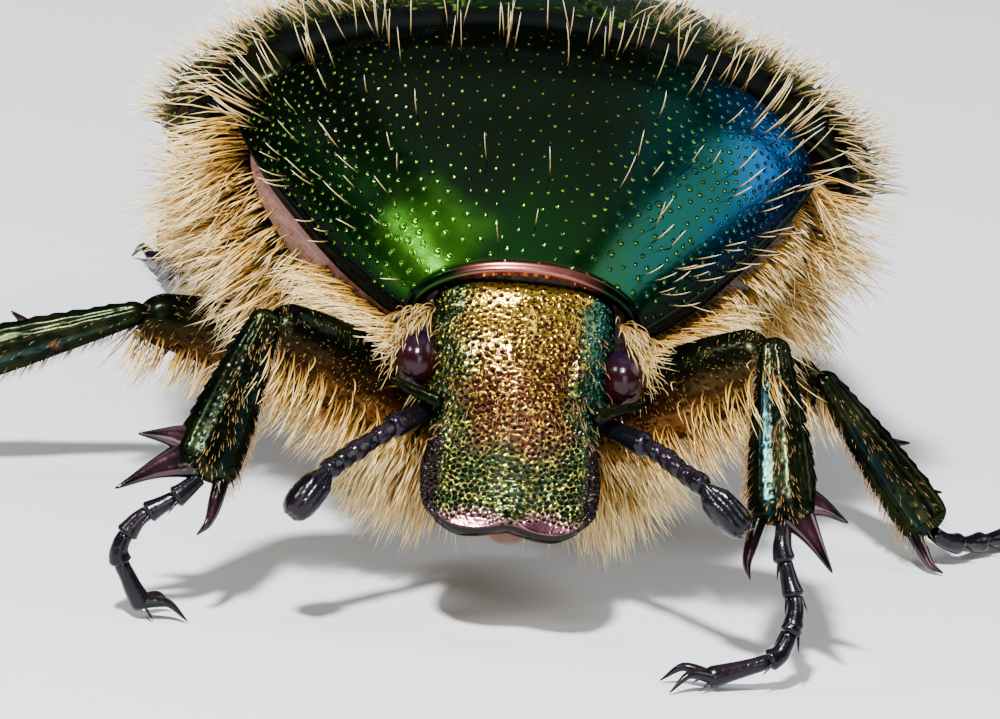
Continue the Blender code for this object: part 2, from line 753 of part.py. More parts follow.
def floor_slab():
    """A slab whose top is the floor, to cut flats on the feet."""
    slab = mesh_piece("floor_slab", [(0, 0, 0)], [])
    edit = bmesh.new()
    bmesh.ops.create_cube(edit, size=1.0)
    place = Matrix.Translation(Vector((0, 0, -1.0)) * MM) @ Matrix.Diagonal((0.06, 0.06, 0.002, 1))
    bmesh.ops.transform(edit, matrix=place, verts=edit.verts)
    edit.to_mesh(slab.data)
    edit.free()
    return slab


def make_tarsus(name, leg):
    """Five foot joints, each flared at its end, and two claws, cut flat where they stand."""
    route = [leg.ankle] + leg.foot
    keys = list(range(len(route)))
    lines = [profile(list(zip(keys, [p[c] for p in route]))) for c in range(3)]

    def at(share):
        return Vector([line(share * (len(route) - 1)) for line in lines])

    joints = [0.0, 0.19, 0.36, 0.53, 0.7, 1.0]
    points, radii = [], []
    for start, end in zip(joints, joints[1:]):
        span = end - start
        points += [at(start + span * 0.06), at(start + span * 0.74), at(start + span * 0.96)]
        radii += [0.17, 0.23, 0.21]
    made = tube(name, points, radii, 1, 1)
    tip, forward = at(1.0), (at(1.0) - at(0.93)).normalized()
    sideways = forward.cross(Vector((0, 0, 1))).normalized()
    ahead = Vector((forward.x, forward.y, 0)).normalized()
    claws = []
    for turn in (-1, 1):
        base = tip - forward * 0.15 + sideways * turn * 0.08
        mid = tip + ahead * 0.3 + sideways * turn * 0.24 + Vector((0, 0, 0.08))
        end = tip + ahead * 0.62 + sideways * turn * 0.36
        end.z = 0.06
        claws.append(tube("claw", [base, mid, end], [0.2, 0.17, 0.07], 1, 1))
    made = fuse(made, claws)
    return finish(cut(made, [*tibia_forms(leg, GAP), floor_slab()]), "dark_leg")


def make_leg(key, body_clearance):
    """Four pieces, each cut clear of the one that it grows from."""
    leg = LEGS[key]
    coxa = finish(coxa_solid("coxa_" + key, leg), "dark_leg")
    made = femur_solid("femur_" + key, leg)
    made = cut(made, [coxa_solid("clearance", leg, GAP), body_clearance()])
    femur = finish(made, "dark_leg")
    tibia = make_tibia("tibia_" + key, leg)
    tarsus = make_tarsus("tarsus_" + key, leg)
    return {"coxa": coxa, "femur": femur, "tibia": tibia, "tarsus": tarsus}


# Coat

def lock(root, away, lie, length, width):
    """A flat tapered lock of hair, sunk at its root, that bends from away towards its lie."""
    away, lie = away.normalized(), lie.normalized()
    flat = away.cross(lie).normalized()
    rings = []
    for share, wide, thick in LOCK_PROFILE:
        bend = max(0.0, share)
        along = away.lerp(lie, bend).normalized()
        centre = root + (away * (1 - 0.5 * bend) + lie * 0.5 * bend) * length * share
        up = along.cross(flat).normalized()
        across, through = flat * width / 2 * wide, up * LOCK_THICKNESS / 2 * thick
        rings.append(
            [centre + across, centre + through, centre - across, centre - through]
        )
    return loft("lock", rings)


def bristle(root, away, length):
    """A stiff hair that stands up from a plate: a slim three-sided spine, sunk at its root."""
    away = away.normalized()
    across = away.orthogonal().normalized()
    through = away.cross(across)
    rings = []
    for height, radius in ((-BRISTLE_SUNK, BRISTLE_ROOT), (length, BRISTLE_TIP)):
        turns = [2 * math.pi * k / 3 for k in range(3)]
        rings.append(
            [root + away * height + (across * math.cos(a) + through * math.sin(a)) * radius for a in turns]
        )
    return loft("bristle", rings)


def search_tree(obj):
    """A search tree of an object's faces in the model's frame, in metres."""
    bpy.context.view_layer.update()
    places = [obj.matrix_world @ v.co for v in obj.data.vertices]
    return BVHTree.FromPolygons(places, [tuple(p.vertices) for p in obj.data.polygons])


def is_inside(tree, place):
    """Whether a place lies inside a closed surface, by counting crossings along a slanting line."""
    line = Vector((0.31, 0.52, 0.79)).normalized()
    crossings = 0
    hit = tree.ray_cast(place, line)[0]
    while hit is not None:
        crossings += 1
        hit = tree.ray_cast(hit + line * 1e-7, line)[0]
    return crossings % 2 == 1


def keeps_clear(piece, trees):
    """Whether a piece's corners and the middles of its edges stay outside all trees and off them."""
    verts = piece.data.vertices
    places = [v.co for v in verts]
    places += [(verts[i].co + verts[j].co) / 2 for i, j in (e.vertices for e in piece.data.edges)]
    for tree in trees:
        if any(tree.find_nearest(place)[3] < GAP * MM or is_inside(tree, place) for place in places):
            return False
    return True


def grow_coat(host, locks, bristles, neighbours):
    """Fuses locks and bristles onto a host. A lock that nears a neighbour is shortened, or else
    left out. Locks are (place, away, lie, length, width) in the model's frame, and bristles
    (place, away, length)."""
    trees = [search_tree(n) for n in neighbours]
    kept = []
    for place, away, lie, length, width in locks:
        for share in LOCK_SHARES:
            piece = lock(place, away, lie, length * share, width)
            if keeps_clear(piece, trees):
                kept.append(piece)
                break
            bpy.data.objects.remove(piece)
    for place, away, length in bristles:
        piece = bristle(place, away, length)
        if keeps_clear(piece, trees):
            kept.append(piece)
        else:
            bpy.data.objects.remove(piece)
    return fuse(host, kept)


def surface_frame(point, u, v, step=0.05):
    """Place and outward normal of a surface given as a function of two values."""
    place = point(u, v)
    one, other = point(u + step, v) - place, point(u, v + step) - place
    return place, one.cross(other).normalized()


def thorax_roots(draw):
    """Rows of locks down each side of the thorax, longest in front."""
    world, turn = TRUNK.matrix_world, TRUNK.matrix_world.to_3x3()
    roots = []
    for side in (-1, 1):
        for row, fall in enumerate((8, 24, 42)):
            for k in range(7):
                y = 0.35 + 0.82 * k + 0.4 * (row % 2) + draw.uniform(-0.12, 0.12)
                angle = math.radians(360 - fall if side > 0 else 180 + fall)
                place, normal = surface_frame(trunk_point, y, angle)
                normal = turn @ (normal if normal.x * side > 0 else -normal)
                place = (world @ (place * MM)) / MM
                away = normal + Vector((0, -0.35 + 0.1 * k, 0.25 - 0.12 * row))
                lie = normal * 0.4 + Vector((0, 0.35, -0.75 - 0.1 * row))
                length = (1.75 - 0.12 * k) * draw.uniform(0.88, 1.1)
                roots.append((place, away, lie, length, draw.uniform(0.7, 0.9)))
    return roots


def prothorax_roots(draw):
    """Rows of locks along the underside of the prothorax, and a beard before the coxae."""
    roots = []
    for side in (-1, 1):
        for row, fall in enumerate((16, 38, 60)):
            for k in range(5):
                share = 0.14 + 0.17 * k + 0.08 * (row % 2) + draw.uniform(-0.02, 0.02)
                angle = math.radians(360 - fall if side > 0 else 180 + fall)
                place, normal = surface_frame(prothorax_point, share, angle)
                normal = normal if normal.x * side > 0 or normal.z < -0.5 else -normal
                away = normal + Vector((side * 0.15, -0.4, -0.1))
                lie = normal * 0.3 + Vector((0, 0.2, -0.9))
                length = (1.5 - 0.1 * row) * draw.uniform(0.88, 1.1)
                roots.append((place, away, lie, length, draw.uniform(0.65, 0.85)))
    for k in range(5):
        angle = math.radians(236 + 17 * k)
        place, normal = surface_frame(prothorax_point, 0.9, angle)
        normal = normal if normal.z < 0 else -normal
        away = normal + Vector((0, -0.8, -0.2))
        roots.append((place, away, Vector((0, -0.2, -1)), 1.25 * draw.uniform(0.9, 1.1), 0.7))
    return roots


def prothorax_bristles(draw):
    """Stiff hairs over the pronotum, longest on its rear slope."""
    bristles = []
    for share, count, length in ((0.08, 6, 0.62), (0.3, 5, 0.5), (0.6, 4, 0.4)):
        for k in range(count):
            angle = math.pi * (k + 0.5) / count + draw.uniform(-0.08, 0.08)
            place, normal = surface_frame(prothorax_point, share + draw.uniform(-0.03, 0.03), angle)
            normal = normal if normal.z > 0 else -normal
            bristles.append((place, normal, length * draw.uniform(0.85, 1.1)))
    return bristles


def wing_bristles(side, draw):
    """Rows of stiff hairs over a wing case, longest at the shoulder."""
    world, turn = TRUNK.matrix_world, TRUNK.matrix_world.to_3x3()
    bristles = []
    for y, length in ((0.8, 0.75), (2.2, 0.62), (4.0, 0.45), (6.2, 0.4), (8.6, 0.38)):
        for share in (0.2, 0.48, 0.76, 0.96):
            at = y + draw.uniform(-0.3, 0.3)
            place, normal = surface_frame(wing_surface, at, share + draw.uniform(-0.03, 0.03))
            normal = normal if normal.z > 0 else -normal
            place, normal = Vector((side * place.x, place.y, place.z)), Vector((side * normal.x, *normal.yz))
            bristles.append(((world @ (place * MM)) / MM, turn @ normal, length * draw.uniform(0.85, 1.1)))
    return bristles


def front_leg_roots(leg, draw):
    """The beard that hangs from a front coxa, and the fringe under its femur."""
    side = math.copysign(1, leg.coxa.x)
    beard = []
    for across, ahead, down in COXA_LOCKS:
        away = Vector((side * across, -ahead, -down)).normalized()
        place = leg.coxa + Vector([c * r for c, r in zip(away, leg.coxa_radii)]) * 0.98
        lie = away * 0.4 + Vector((0, -0.1, -1))
        beard.append((place, away, lie, 1.35 * draw.uniform(0.88, 1.08), 0.7))
    fringe = []
    along = (leg.knee - leg.root).normalized()
    down = (Vector((0, 0, -1)) + along * along.z).normalized()
    for k in range(5):
        place = leg.root.lerp(leg.knee, 0.22 + 0.15 * k) + down * leg.femur * 0.85
        away = down + along * 0.15
        lie = Vector((side * 0.1, -0.3, -1))
        fringe.append((place, away, lie, (1.15 - 0.06 * k) * draw.uniform(0.88, 1.08), 0.6))
    return beard, fringe


def prothorax_solid(name, grow=0.0):
    shares = [0.0, 0.05, 0.14, 0.26, 0.4, 0.54, 0.68, 0.8, 0.9, 0.97, 1.0]
    angles = prothorax_angles(30)
    return loft(name, [[prothorax_point(s, a, grow) for a in angles] for s in shares])


def trunk_solid(name, stations, grow=0.0):
    """Part of the trunk in the model's frame."""
    return in_place(carried(trunk_loft(name, [(y, i - grow) for y, i in stations]), TRUNK))


def prothorax_clearance():
    return prothorax_solid("clearance", GAP)


def trunk_clearance():
    """Thorax and abdomen as one, grown by the gap, to cut the legs clear of both."""
    return trunk_solid("clearance", [(-0.3, 0.5), (0.2, 0.0)] + [(y, 0.0) for y in range(1, 12)], GAP)


def make_antennae():
    """Feelers that leave the cheeks behind the ridge and bend down beside the face, each with
    a closed club of three leaves."""
    stalks = {
        "antenna_right": (-1, [(-1.2, -8.42, 3.32), (-1.5, -8.85, 3.22), (-1.9, -9.15, 3.12),
                               (-2.2, -9.5, 2.98), (-2.5, -9.72, 2.8), (-2.75, -9.9, 2.62)],
                          [(-2.8, -9.93, 2.55), (-3.25, -10.1, 1.9)]),
        "antenna_left": (1, [(1.3, -8.42, 3.3), (1.62, -8.85, 3.26), (2.0, -9.15, 3.22),
                             (2.3, -9.5, 3.18), (2.55, -9.7, 3.06), (2.8, -9.9, 2.92)],
                         [(2.9, -9.93, 2.85), (3.5, -10.1, 2.3)]),
    }
    feelers = []
    for name, (side, stalk, club) in stalks.items():
        made = make_antenna(name, stalk, club)
        clearances = [head_loft("clearance", GAP), eye_socket(side), canthus(side, GAP)]
        clearances = [in_place(carried(piece, HEAD)) for piece in clearances]
        feelers.append(finish(cut(made, clearances), "horn_black"))
    return feelers


def main():
    global SOLIDS, TRUNK, HEAD
    clear_scene()
    SOLIDS = collection("rose_chafer")
    TRUNK = frame_empty("trunk_frame", JOINT_Y, JOINT_Z, TRUNK_PITCH)
    HEAD = frame_empty("head_frame", HEAD_Y, HEAD_Z, HEAD_PITCH)
    draw = random.Random(COAT_SEED)

    wings = [wing_case("wing_case_right", -1), wing_case("wing_case_left", 1)]
    scutellum = make_scutellum()
    abdomen = make_abdomen(coxa_sockets("hind"))
    make_pygidium()
    thorax = trunk_solid("thorax", THORAX_STATIONS)
    thorax = cut(thorax, coxa_sockets("middle") + coxa_sockets("hind"))

    cavity = in_place(carried(head_loft("cavity", GAP), HEAD))
    prothorax = cut(prothorax_solid("prothorax"), [cavity, *coxa_sockets("front")])
    face = [make_head(), make_mouthparts(), make_eye("eye_right", -1), make_eye("eye_left", 1)]
    face += make_antennae()

    limbs = {}
    for key in LEGS:
        clearance = prothorax_clearance if key.startswith("front") else trunk_clearance
        limbs[key] = make_leg(key, clearance)

    near = [piece for leg in limbs.values() for piece in leg.values()]
    thorax = grow_coat(thorax, thorax_roots(draw), [], [*wings, abdomen, prothorax, *near])
    finish(thorax, "hairy_skin")
    bristles = prothorax_bristles(draw)
    prothorax = grow_coat(prothorax, prothorax_roots(draw), bristles, [*face, *wings, thorax, *near])
    finish(prothorax, "green_shell")
    wings.append(scutellum)
    for side, wing in ((-1, wings[0]), (1, wings[1])):
        other = [piece for piece in wings if piece is not wing]
        grown = grow_coat(wing, [], wing_bristles(side, draw), [*other, thorax, prothorax])
        wings[wings.index(wing)] = finish(grown, "green_shell", 40)
    for key in ("front_right", "front_left"):
        coxa, femur, tibia, tarsus = limbs[key].values()
        beard, fringe = front_leg_roots(LEGS[key], draw)
        other = [piece for k in limbs if k != key for piece in limbs[k].values()]
        coxa = grow_coat(coxa, beard, [], [*face, thorax, prothorax, femur, tibia, tarsus, *other])
        limbs[key]["coxa"] = finish(coxa, "dark_leg")
        femur = grow_coat(femur, fringe, [], [*face, thorax, prothorax, coxa, tibia, tarsus, *other])
        limbs[key]["femur"] = finish(femur, "dark_leg")


main()
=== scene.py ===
"""Dresses the rose chafer: plates, pits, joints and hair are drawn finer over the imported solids."""

import math

import bmesh
import bpy
import numpy as np
from mathutils import Matrix, Vector
from mathutils.kdtree import KDTree


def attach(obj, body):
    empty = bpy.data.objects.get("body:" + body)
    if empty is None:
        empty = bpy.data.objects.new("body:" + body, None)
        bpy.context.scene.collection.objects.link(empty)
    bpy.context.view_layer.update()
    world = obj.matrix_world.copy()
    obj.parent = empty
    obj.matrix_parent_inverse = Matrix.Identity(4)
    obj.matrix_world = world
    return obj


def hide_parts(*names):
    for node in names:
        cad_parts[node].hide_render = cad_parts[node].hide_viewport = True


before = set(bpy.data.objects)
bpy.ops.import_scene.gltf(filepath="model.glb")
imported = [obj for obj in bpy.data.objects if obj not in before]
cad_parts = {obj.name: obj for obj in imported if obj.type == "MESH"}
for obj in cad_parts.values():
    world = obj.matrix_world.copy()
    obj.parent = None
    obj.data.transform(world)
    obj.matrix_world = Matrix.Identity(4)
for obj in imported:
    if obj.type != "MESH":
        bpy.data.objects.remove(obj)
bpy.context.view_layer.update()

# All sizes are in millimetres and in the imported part's frame: the beetle faces -Y.
MM = 0.001
WHOLE_BODY = "root"
LEFT, RIGHT = 1, -1  # the beetle's own sides, along X

# Frames of the trunk and the head, as the solids have them
JOINT_Y, JOINT_Z = -2.6, 8.1
TRUNK_PITCH = math.radians(-7.0)
HEAD_Y, HEAD_Z = -8.42, 5.42
HEAD_PITCH = math.radians(68.0)

# Camera: it looks along +Y, a little down, and leans as the photographer held it
CAMERA_TARGET = Vector((-0.36, -9.2, 4.36))
CAMERA_DISTANCE = 150.0
CAMERA_AZIMUTH, CAMERA_ELEVATION, CAMERA_ROLL = -3.0, 15.0, 6.3
LENS, SENSOR = 364.5, 36.0
PAINTED_HIGHLIGHT_PLACE = Vector((-1.6, -7.2, 5.5))  # where the painted green highlight on the shield is brightest
LIT_PLACE = Vector((0.0, -5.0, 4.0))  # what every light points at


def side_name(side):
    return "left" if side > 0 else "right"


def profile(stations):
    """A smooth function through (position, value) stations that never overshoots them."""
    xs, ys = np.array(stations, float).T
    step = np.diff(xs)
    slope = np.diff(ys) / step
    tangent = np.concatenate([slope[:1], np.zeros(len(xs) - 2), slope[-1:]])
    for k in range(1, len(xs) - 1):
        if slope[k - 1] * slope[k] > 0:
            near, far = 2 * step[k] + step[k - 1], step[k] + 2 * step[k - 1]
            tangent[k] = (near + far) / (near / slope[k - 1] + far / slope[k])

    def value(x):
        x = np.clip(x, xs[0], xs[-1])
        k = np.clip(np.searchsorted(xs, x, side="right") - 1, 0, len(step) - 1)
        t = (x - xs[k]) / step[k]
        bend = t * t * (3 - 2 * t)
        start, end = tangent[k] * step[k], tangent[k + 1] * step[k]
        return ys[k] + (ys[k + 1] - ys[k]) * bend + start * t * (1 - t) ** 2 - end * t * t * (1 - t)

    return value


# Trunk and wing cases, by distance behind the joint
wing_half_width = profile(
    [(0.3, 4.5), (0.9, 5.35), (1.7, 5.6), (3.8, 5.2), (6.0, 5.15), (8.5, 4.75), (10.4, 3.85),
     (11.5, 2.7), (12.0, 1.6), (12.15, 0.7)]
)
wing_top = profile(
    [(0.3, -0.05), (1.7, 0.1), (3.4, 0.2), (5.0, 0.12), (7.0, -0.2), (9.0, -0.85), (10.4, -1.6),
     (11.5, -2.5), (12.0, -3.1), (12.15, -3.4)]
)
wing_edge = profile(
    [(0.3, -1.7), (0.9, -2.3), (1.7, -2.5), (3.8, -2.72), (6.0, -2.9), (8.5, -3.2), (10.4, -3.5),
     (12.15, -3.8)]
)
belly = profile(
    [(-0.2, -5.6), (0.5, -5.9), (2.0, -6.35), (4.0, -6.6), (6.6, -6.45), (9.0, -5.85),
     (11.0, -4.9), (11.6, -4.5)]
)
scutellum_half_width = profile([(0.3, 1.42), (1.4, 0.95), (2.5, 0.42), (3.0, 0.12)])
WING_START, WING_END = 0.3, 12.15
WING_ROUND = 2.05
SCUTELLUM_END = 3.0
SHOULDER = 1.3  # the trunk narrows in front of it
SUTURE = 0.03  # half the seam between the wing cases
CASE_THICKNESS = 0.3

# Prothorax, by share of its length from rear to front
PROTHORAX_LENGTH = 5.35
REAR_BOW = 0.12
REAR_TILT, FRONT_TILT = math.radians(-7.0), math.radians(24.0)
pronotum_half_width = profile(
    [(0.0, 3.9), (0.05, 4.25), (0.14, 4.4), (0.3, 4.15), (0.5, 3.6), (0.75, 2.77), (0.9, 2.15),
     (1.0, 1.72)]
)
pronotum_top = profile(
    [(0.0, 7.98), (0.12, 7.98), (0.3, 7.75), (0.5, 7.2), (0.75, 6.45), (0.93, 5.8), (1.0, 5.5)]
)
pronotum_edge = profile(
    [(0.0, 6.1), (0.14, 6.1), (0.3, 5.82), (0.5, 5.4), (0.75, 4.9), (1.0, 4.5)]
)
prosternum = profile([(0.0, 3.0), (0.3, 2.75), (0.6, 2.85), (0.85, 3.2), (1.0, 3.55)])
LIP = 0.3

# Head, by distance from the vertex down the face
HEAD_LENGTH = 3.85
CLYPEUS_START, CLYPEUS_NOTCH = 3.3, 0.11
head_half_width = profile(
    [(-0.5, 1.0), (-0.2, 1.25), (0.4, 1.38), (1.5, 1.4), (2.1, 1.22), (2.5, 1.27), (2.95, 1.34),
     (3.4, 1.3), (3.7, 1.2), (3.85, 1.05)]
)
head_crown = profile(
    [(-0.5, -1.35), (-0.2, -0.95), (0.15, -0.5), (0.55, -0.15), (1.2, 0.06), (1.8, 0.08),
     (2.4, 0.0), (3.0, -0.1), (3.6, -0.1), (3.85, -0.16)]
)
head_depth = profile(
    [(-0.5, 0.8), (0.15, 1.5), (0.6, 1.9), (1.5, 2.1), (2.3, 1.7), (3.0, 1.0), (3.6, 0.6),
     (3.85, 0.5)]
)
EYE_CENTRE = (1.54, -1.27, -0.68)
EYE_RADII = (0.37, 0.44, 0.5)


# Meshes

def signed_power(value, exponent):
    """A power of the value's size, which keeps its sign."""
    return np.sign(value) * np.abs(value) ** exponent


def ramp(value, start, length):
    """Rises from 0 at the start to 1 a length further on."""
    return np.clip((value - start) / length, 0, 1)


def crest(offset, width):
    """A smooth swelling, 1 high where the offset is 0."""
    return np.exp(-((offset / width) ** 2))


def unit(vector):
    vector = np.array(vector, float)
    return vector / np.linalg.norm(vector)


def units(vectors):
    """The vectors of an array, each made 1 long."""
    return vectors / np.linalg.norm(vectors, axis=-1, keepdims=True)


def for_points(values, count, rest=0.0):
    """A value for each of a piece's points: one for all, or a grid's values and then the rest."""
    if np.ndim(values) == 0:
        return np.full(count, float(values))
    values = np.ravel(values)
    return np.concatenate([values, np.full(count - len(values), rest)])


def in_frame(points, origin_y, origin_z, pitch):
    """Points of a tilted frame, in the part's frame."""
    x, y, z = points[..., 0], points[..., 1], points[..., 2]
    c, s = math.cos(pitch), math.sin(pitch)
    return np.stack([x, origin_y + y * c - z * s, origin_z + y * s + z * c], axis=-1)


def in_trunk(points):
    return in_frame(points, JOINT_Y, JOINT_Z, TRUNK_PITCH)


def in_head(points):
    return in_frame(points, HEAD_Y, HEAD_Z, HEAD_PITCH)


def mesh_object(name, points, faces, material):
    """A smooth mesh object from points in millimetres."""
    mesh = bpy.data.meshes.new(name)
    mesh.from_pydata((np.asarray(points, float).reshape(-1, 3) * MM).tolist(), [], faces)
    mesh.update()
    made = bpy.data.objects.new(name, mesh)
    bpy.context.scene.collection.objects.link(made)
    mesh.materials.append(material)
    mesh.shade_smooth()
    return made


def face_outward(made):
    """Turns every face of a closed piece outward."""
    edit = bmesh.new()
    edit.from_mesh(made.data)
    bmesh.ops.recalc_face_normals(edit, faces=edit.faces)
    edit.to_mesh(made.data)
    edit.free()
    return made


def mark(made, name, values, rest=0.0):
    """Keeps a value for each point, which a material reads. The points past a grid get the rest."""
    values = for_points(values, len(made.data.vertices), rest)
    made.data.attributes.new(name, "FLOAT", "POINT")
    made.data.attributes[name].data.foreach_set("value", values.astype(np.float32))


def grid_faces(rows, columns, ring=False):
    """Quads between the points of a grid, closed across the columns where it is a ring."""
    faces = []
    for i in range(rows - 1):
        for j in range(columns if ring else columns - 1):
            here, after, k = i * columns, (i + 1) * columns, (j + 1) % columns
            faces.append((here + j, here + k, after + k, after + j))
    return faces


def ring_solid(rings):
    """Points and faces of a closed solid through an array of rings, and each point's share of
    the way along it."""
    rows, columns = rings.shape[:2]
    faces = grid_faces(rows, columns, True)
    first, last = rows * columns, rows * columns + 1
    for j in range(columns):
        k = (j + 1) % columns
        faces.append((first, k, j))
        faces.append((last, (rows - 1) * columns + j, (rows - 1) * columns + k))
    points = np.concatenate([rings.reshape(-1, 3), rings[:1].mean(axis=1), rings[-1:].mean(axis=1)])
    along = np.concatenate([np.repeat(np.linspace(0, 1, rows), columns), [0.0, 1.0]])
    return points, faces, along


def ring_piece(name, rings, look):
    """A closed piece through an array of rings."""
    points, faces, _ = ring_solid(rings)
    return face_outward(mesh_object(name, points, faces, LOOK[look]))


INNER_STEP = 4


def plate_piece(name, outer, inner, look):
    """A closed plate between two grids of the same size, whose rows and columns are 1 more than a
    multiple of INNER_STEP: the hidden inner side is that much coarser."""
    rows, columns = outer.shape[:2]
    inner = inner[::INNER_STEP, ::INNER_STEP]
    upper = np.arange(rows * columns).reshape(rows, columns)
    lower = rows * columns + np.arange(inner[..., 0].size).reshape(inner.shape[:2])
    faces = grid_faces(rows, columns)
    for face in grid_faces(*inner.shape[:2]):
        faces.append(tuple(rows * columns + i for i in face[::-1]))
    edge, coarse_edge = (
        [*n[0], *n[1:, -1], *n[-1, -2::-1], *n[-2::-1, 0]] for n in (upper, lower)
    )
    for k in range(len(coarse_edge) - 1):
        stretch = edge[INNER_STEP * k : INNER_STEP * (k + 1) + 1]
        faces.append((*stretch, coarse_edge[k + 1], coarse_edge[k]))
    points = np.concatenate([outer.reshape(-1, 3), inner.reshape(-1, 3)])
    return face_outward(mesh_object(name, points, faces, LOOK[look]))


def joined(name, solids, look):
    """One piece from several solids, which keeps each point's share of the way along."""
    points, faces, along, start = [], [], [], 0
    for some_points, some_faces, some_along in solids:
        points.append(some_points)
        faces += [tuple(start + i for i in face) for face in some_faces]
        along.append(some_along)
        start += len(some_points)
    made = face_outward(mesh_object(name, np.concatenate(points), faces, LOOK[look]))
    mark(made, "along", np.concatenate(along))
    return made


def points_and_normals(made):
    count = len(made.data.vertices)
    places, normals = np.empty(count * 3), np.empty(count * 3)
    made.data.vertices.foreach_get("co", places)
    made.data.vertices.foreach_get("normal", normals)
    return places.reshape(-1, 3) / MM, normals.reshape(-1, 3)


def engrave(made, draw, radius, depth, spacing):
    """Presses round pits with raised lips into a piece's surface, and marks how deep each point
    lies. Spacing may be each point's own, and nothing is pressed where it is 0."""
    places, normals = points_and_normals(made)
    spacing = for_points(spacing(places) if callable(spacing) else spacing, len(places))
    tree = KDTree(len(places))
    for i, place in enumerate(places):
        tree.insert(place, i)
    tree.balance()
    taken = spacing <= 0
    height, sunk = np.zeros(len(places)), np.zeros(len(places))
    for i in draw.permutation(len(places)):
        if taken[i]:
            continue
        taken[[j for _, j, _ in tree.find_range(places[i], spacing[i])]] = True
        size = radius * draw.uniform(0.75, 1.2)
        for _, j, distance in tree.find_range(places[i], size * 1.6):
            near = distance / size
            bowl = max(0.0, 1 - near * near) ** 1.5
            lip = 0.22 * math.exp(-(((near - 1.15) / 0.22) ** 2))
            height[j] += lip - bowl
            sunk[j] = max(sunk[j], bowl)
    moved = places + normals * (height * depth)[:, None]
    made.data.vertices.foreach_set("co", (moved * MM).ravel())
    made.data.update()
    mark(made, "pit", sunk)
    return made


def smooth_route(points, count):
    """Evenly spaced values along a smooth curve through the given ones, as (count, n)."""
    points = np.array(points, float)
    keys = np.arange(len(points))
    at = np.linspace(0, len(points) - 1, count)
    return np.stack([profile(np.stack([keys, column], 1))(at) for column in points.T], axis=1)


def limb_rings(centres, breadths, thicknesses, broad, sides=24, squareness=2.2):
    """Rings of a flattened limb. broad is the direction of its breadth."""
    along = units(np.gradient(centres, axis=0))
    broad = np.broadcast_to(np.array(broad, float), centres.shape)
    across = units(broad - along * np.sum(broad * along, axis=1, keepdims=True))
    up = np.cross(along, across)
    x, y = (signed_power(f(whole_turn(sides)), 2 / squareness) for f in (np.cos, np.sin))
    return (
        centres[:, None]
        + across[:, None] * (breadths[:, None] * x)[..., None]
        + up[:, None] * (thicknesses[:, None] * y)[..., None]
    )


def rounded_ends(shares, length):
    """A factor for sizes along a limb that domes over both ends, each over a share of length."""
    near = np.clip(np.minimum(shares, 1 - shares) / length, 0, 1)
    return np.sqrt(np.clip(1 - (1 - near) ** 2, 0.003, 1))


def whole_turn(count):
    """Even angles round a ring, which starts again where they end."""
    return np.linspace(0, 2 * math.pi, count, endpoint=False)


def even_shares(count):
    """Shares from 0 to 1 that lie closer together towards both ends."""
    return (1 - np.cos(np.linspace(0, math.pi, count))) / 2


SKEW = (0.31, 0.47, 0.83)  # a direction that no spine lies along


def thorn(points, radii, rows=12, sides=12):
    """A curved tapering spine, spur or claw."""
    route = smooth_route([(*p, r) for p, r in zip(points, radii)], rows)
    size = route[:, 3]
    return ring_solid(limb_rings(route[:, :3], size, size, SKEW, sides, 2.0))


# Materials

def linear(colour):
    """An sRGB hex colour as linear red, green, blue and 1."""
    values = [int(colour[i : i + 2], 16) / 255 for i in (1, 3, 5)]
    return (*[v / 12.92 if v <= 0.04045 else ((v + 0.055) / 1.055) ** 2.4 for v in values], 1.0)


def wire(tree, node, inputs):
    """Sets a node's inputs: a socket is linked, a hex colour is made linear, a value is kept."""
    for key, value in inputs.items():
        if isinstance(value, bpy.types.NodeSocket):
            tree.links.new(value, node.inputs[key])
        else:
            node.inputs[key].default_value = linear(value) if isinstance(value, str) else value


def add(tree, kind, inputs, output=0, **settings):
    """Adds a node with its settings and inputs, and returns one of its outputs."""
    node = tree.nodes.new("ShaderNode" + kind)
    for key, value in settings.items():
        setattr(node, key, value)
    wire(tree, node, inputs)
    return node.outputs[output]


# The sockets of a Mix node that mixes colours, and the settings that the nodes share
SHARE, FIRST, SECOND, MIXED = 0, 6, 7, 2
COLOURS = {"data_type": "RGBA"}
SOFT_STEP = {"interpolation_type": "SMOOTHSTEP"}
SUNK = {"invert": True}


def span(first, last):
    """Limits of a Map Range node, from where a share is 0 to where it is 1."""
    return {"From Min": first, "From Max": last}


def between(first, last):
    """The same limits for places, in millimetres."""
    return span(first * MM, last * MM)


def grain(size, detail=2.0):
    """The scale of a pattern whose marks are this size in millimetres."""
    return {"Scale": 1 / (size * MM), "Detail": detail}


def new_material(name):
    """A material, its nodes and shader, and the place that its patterns are laid out by."""
    made = bpy.data.materials.new(name)
    made.use_nodes = True
    tree = made.node_tree
    return made, tree, tree.nodes["Principled BSDF"], add(tree, "TexCoord", {}, "Object")


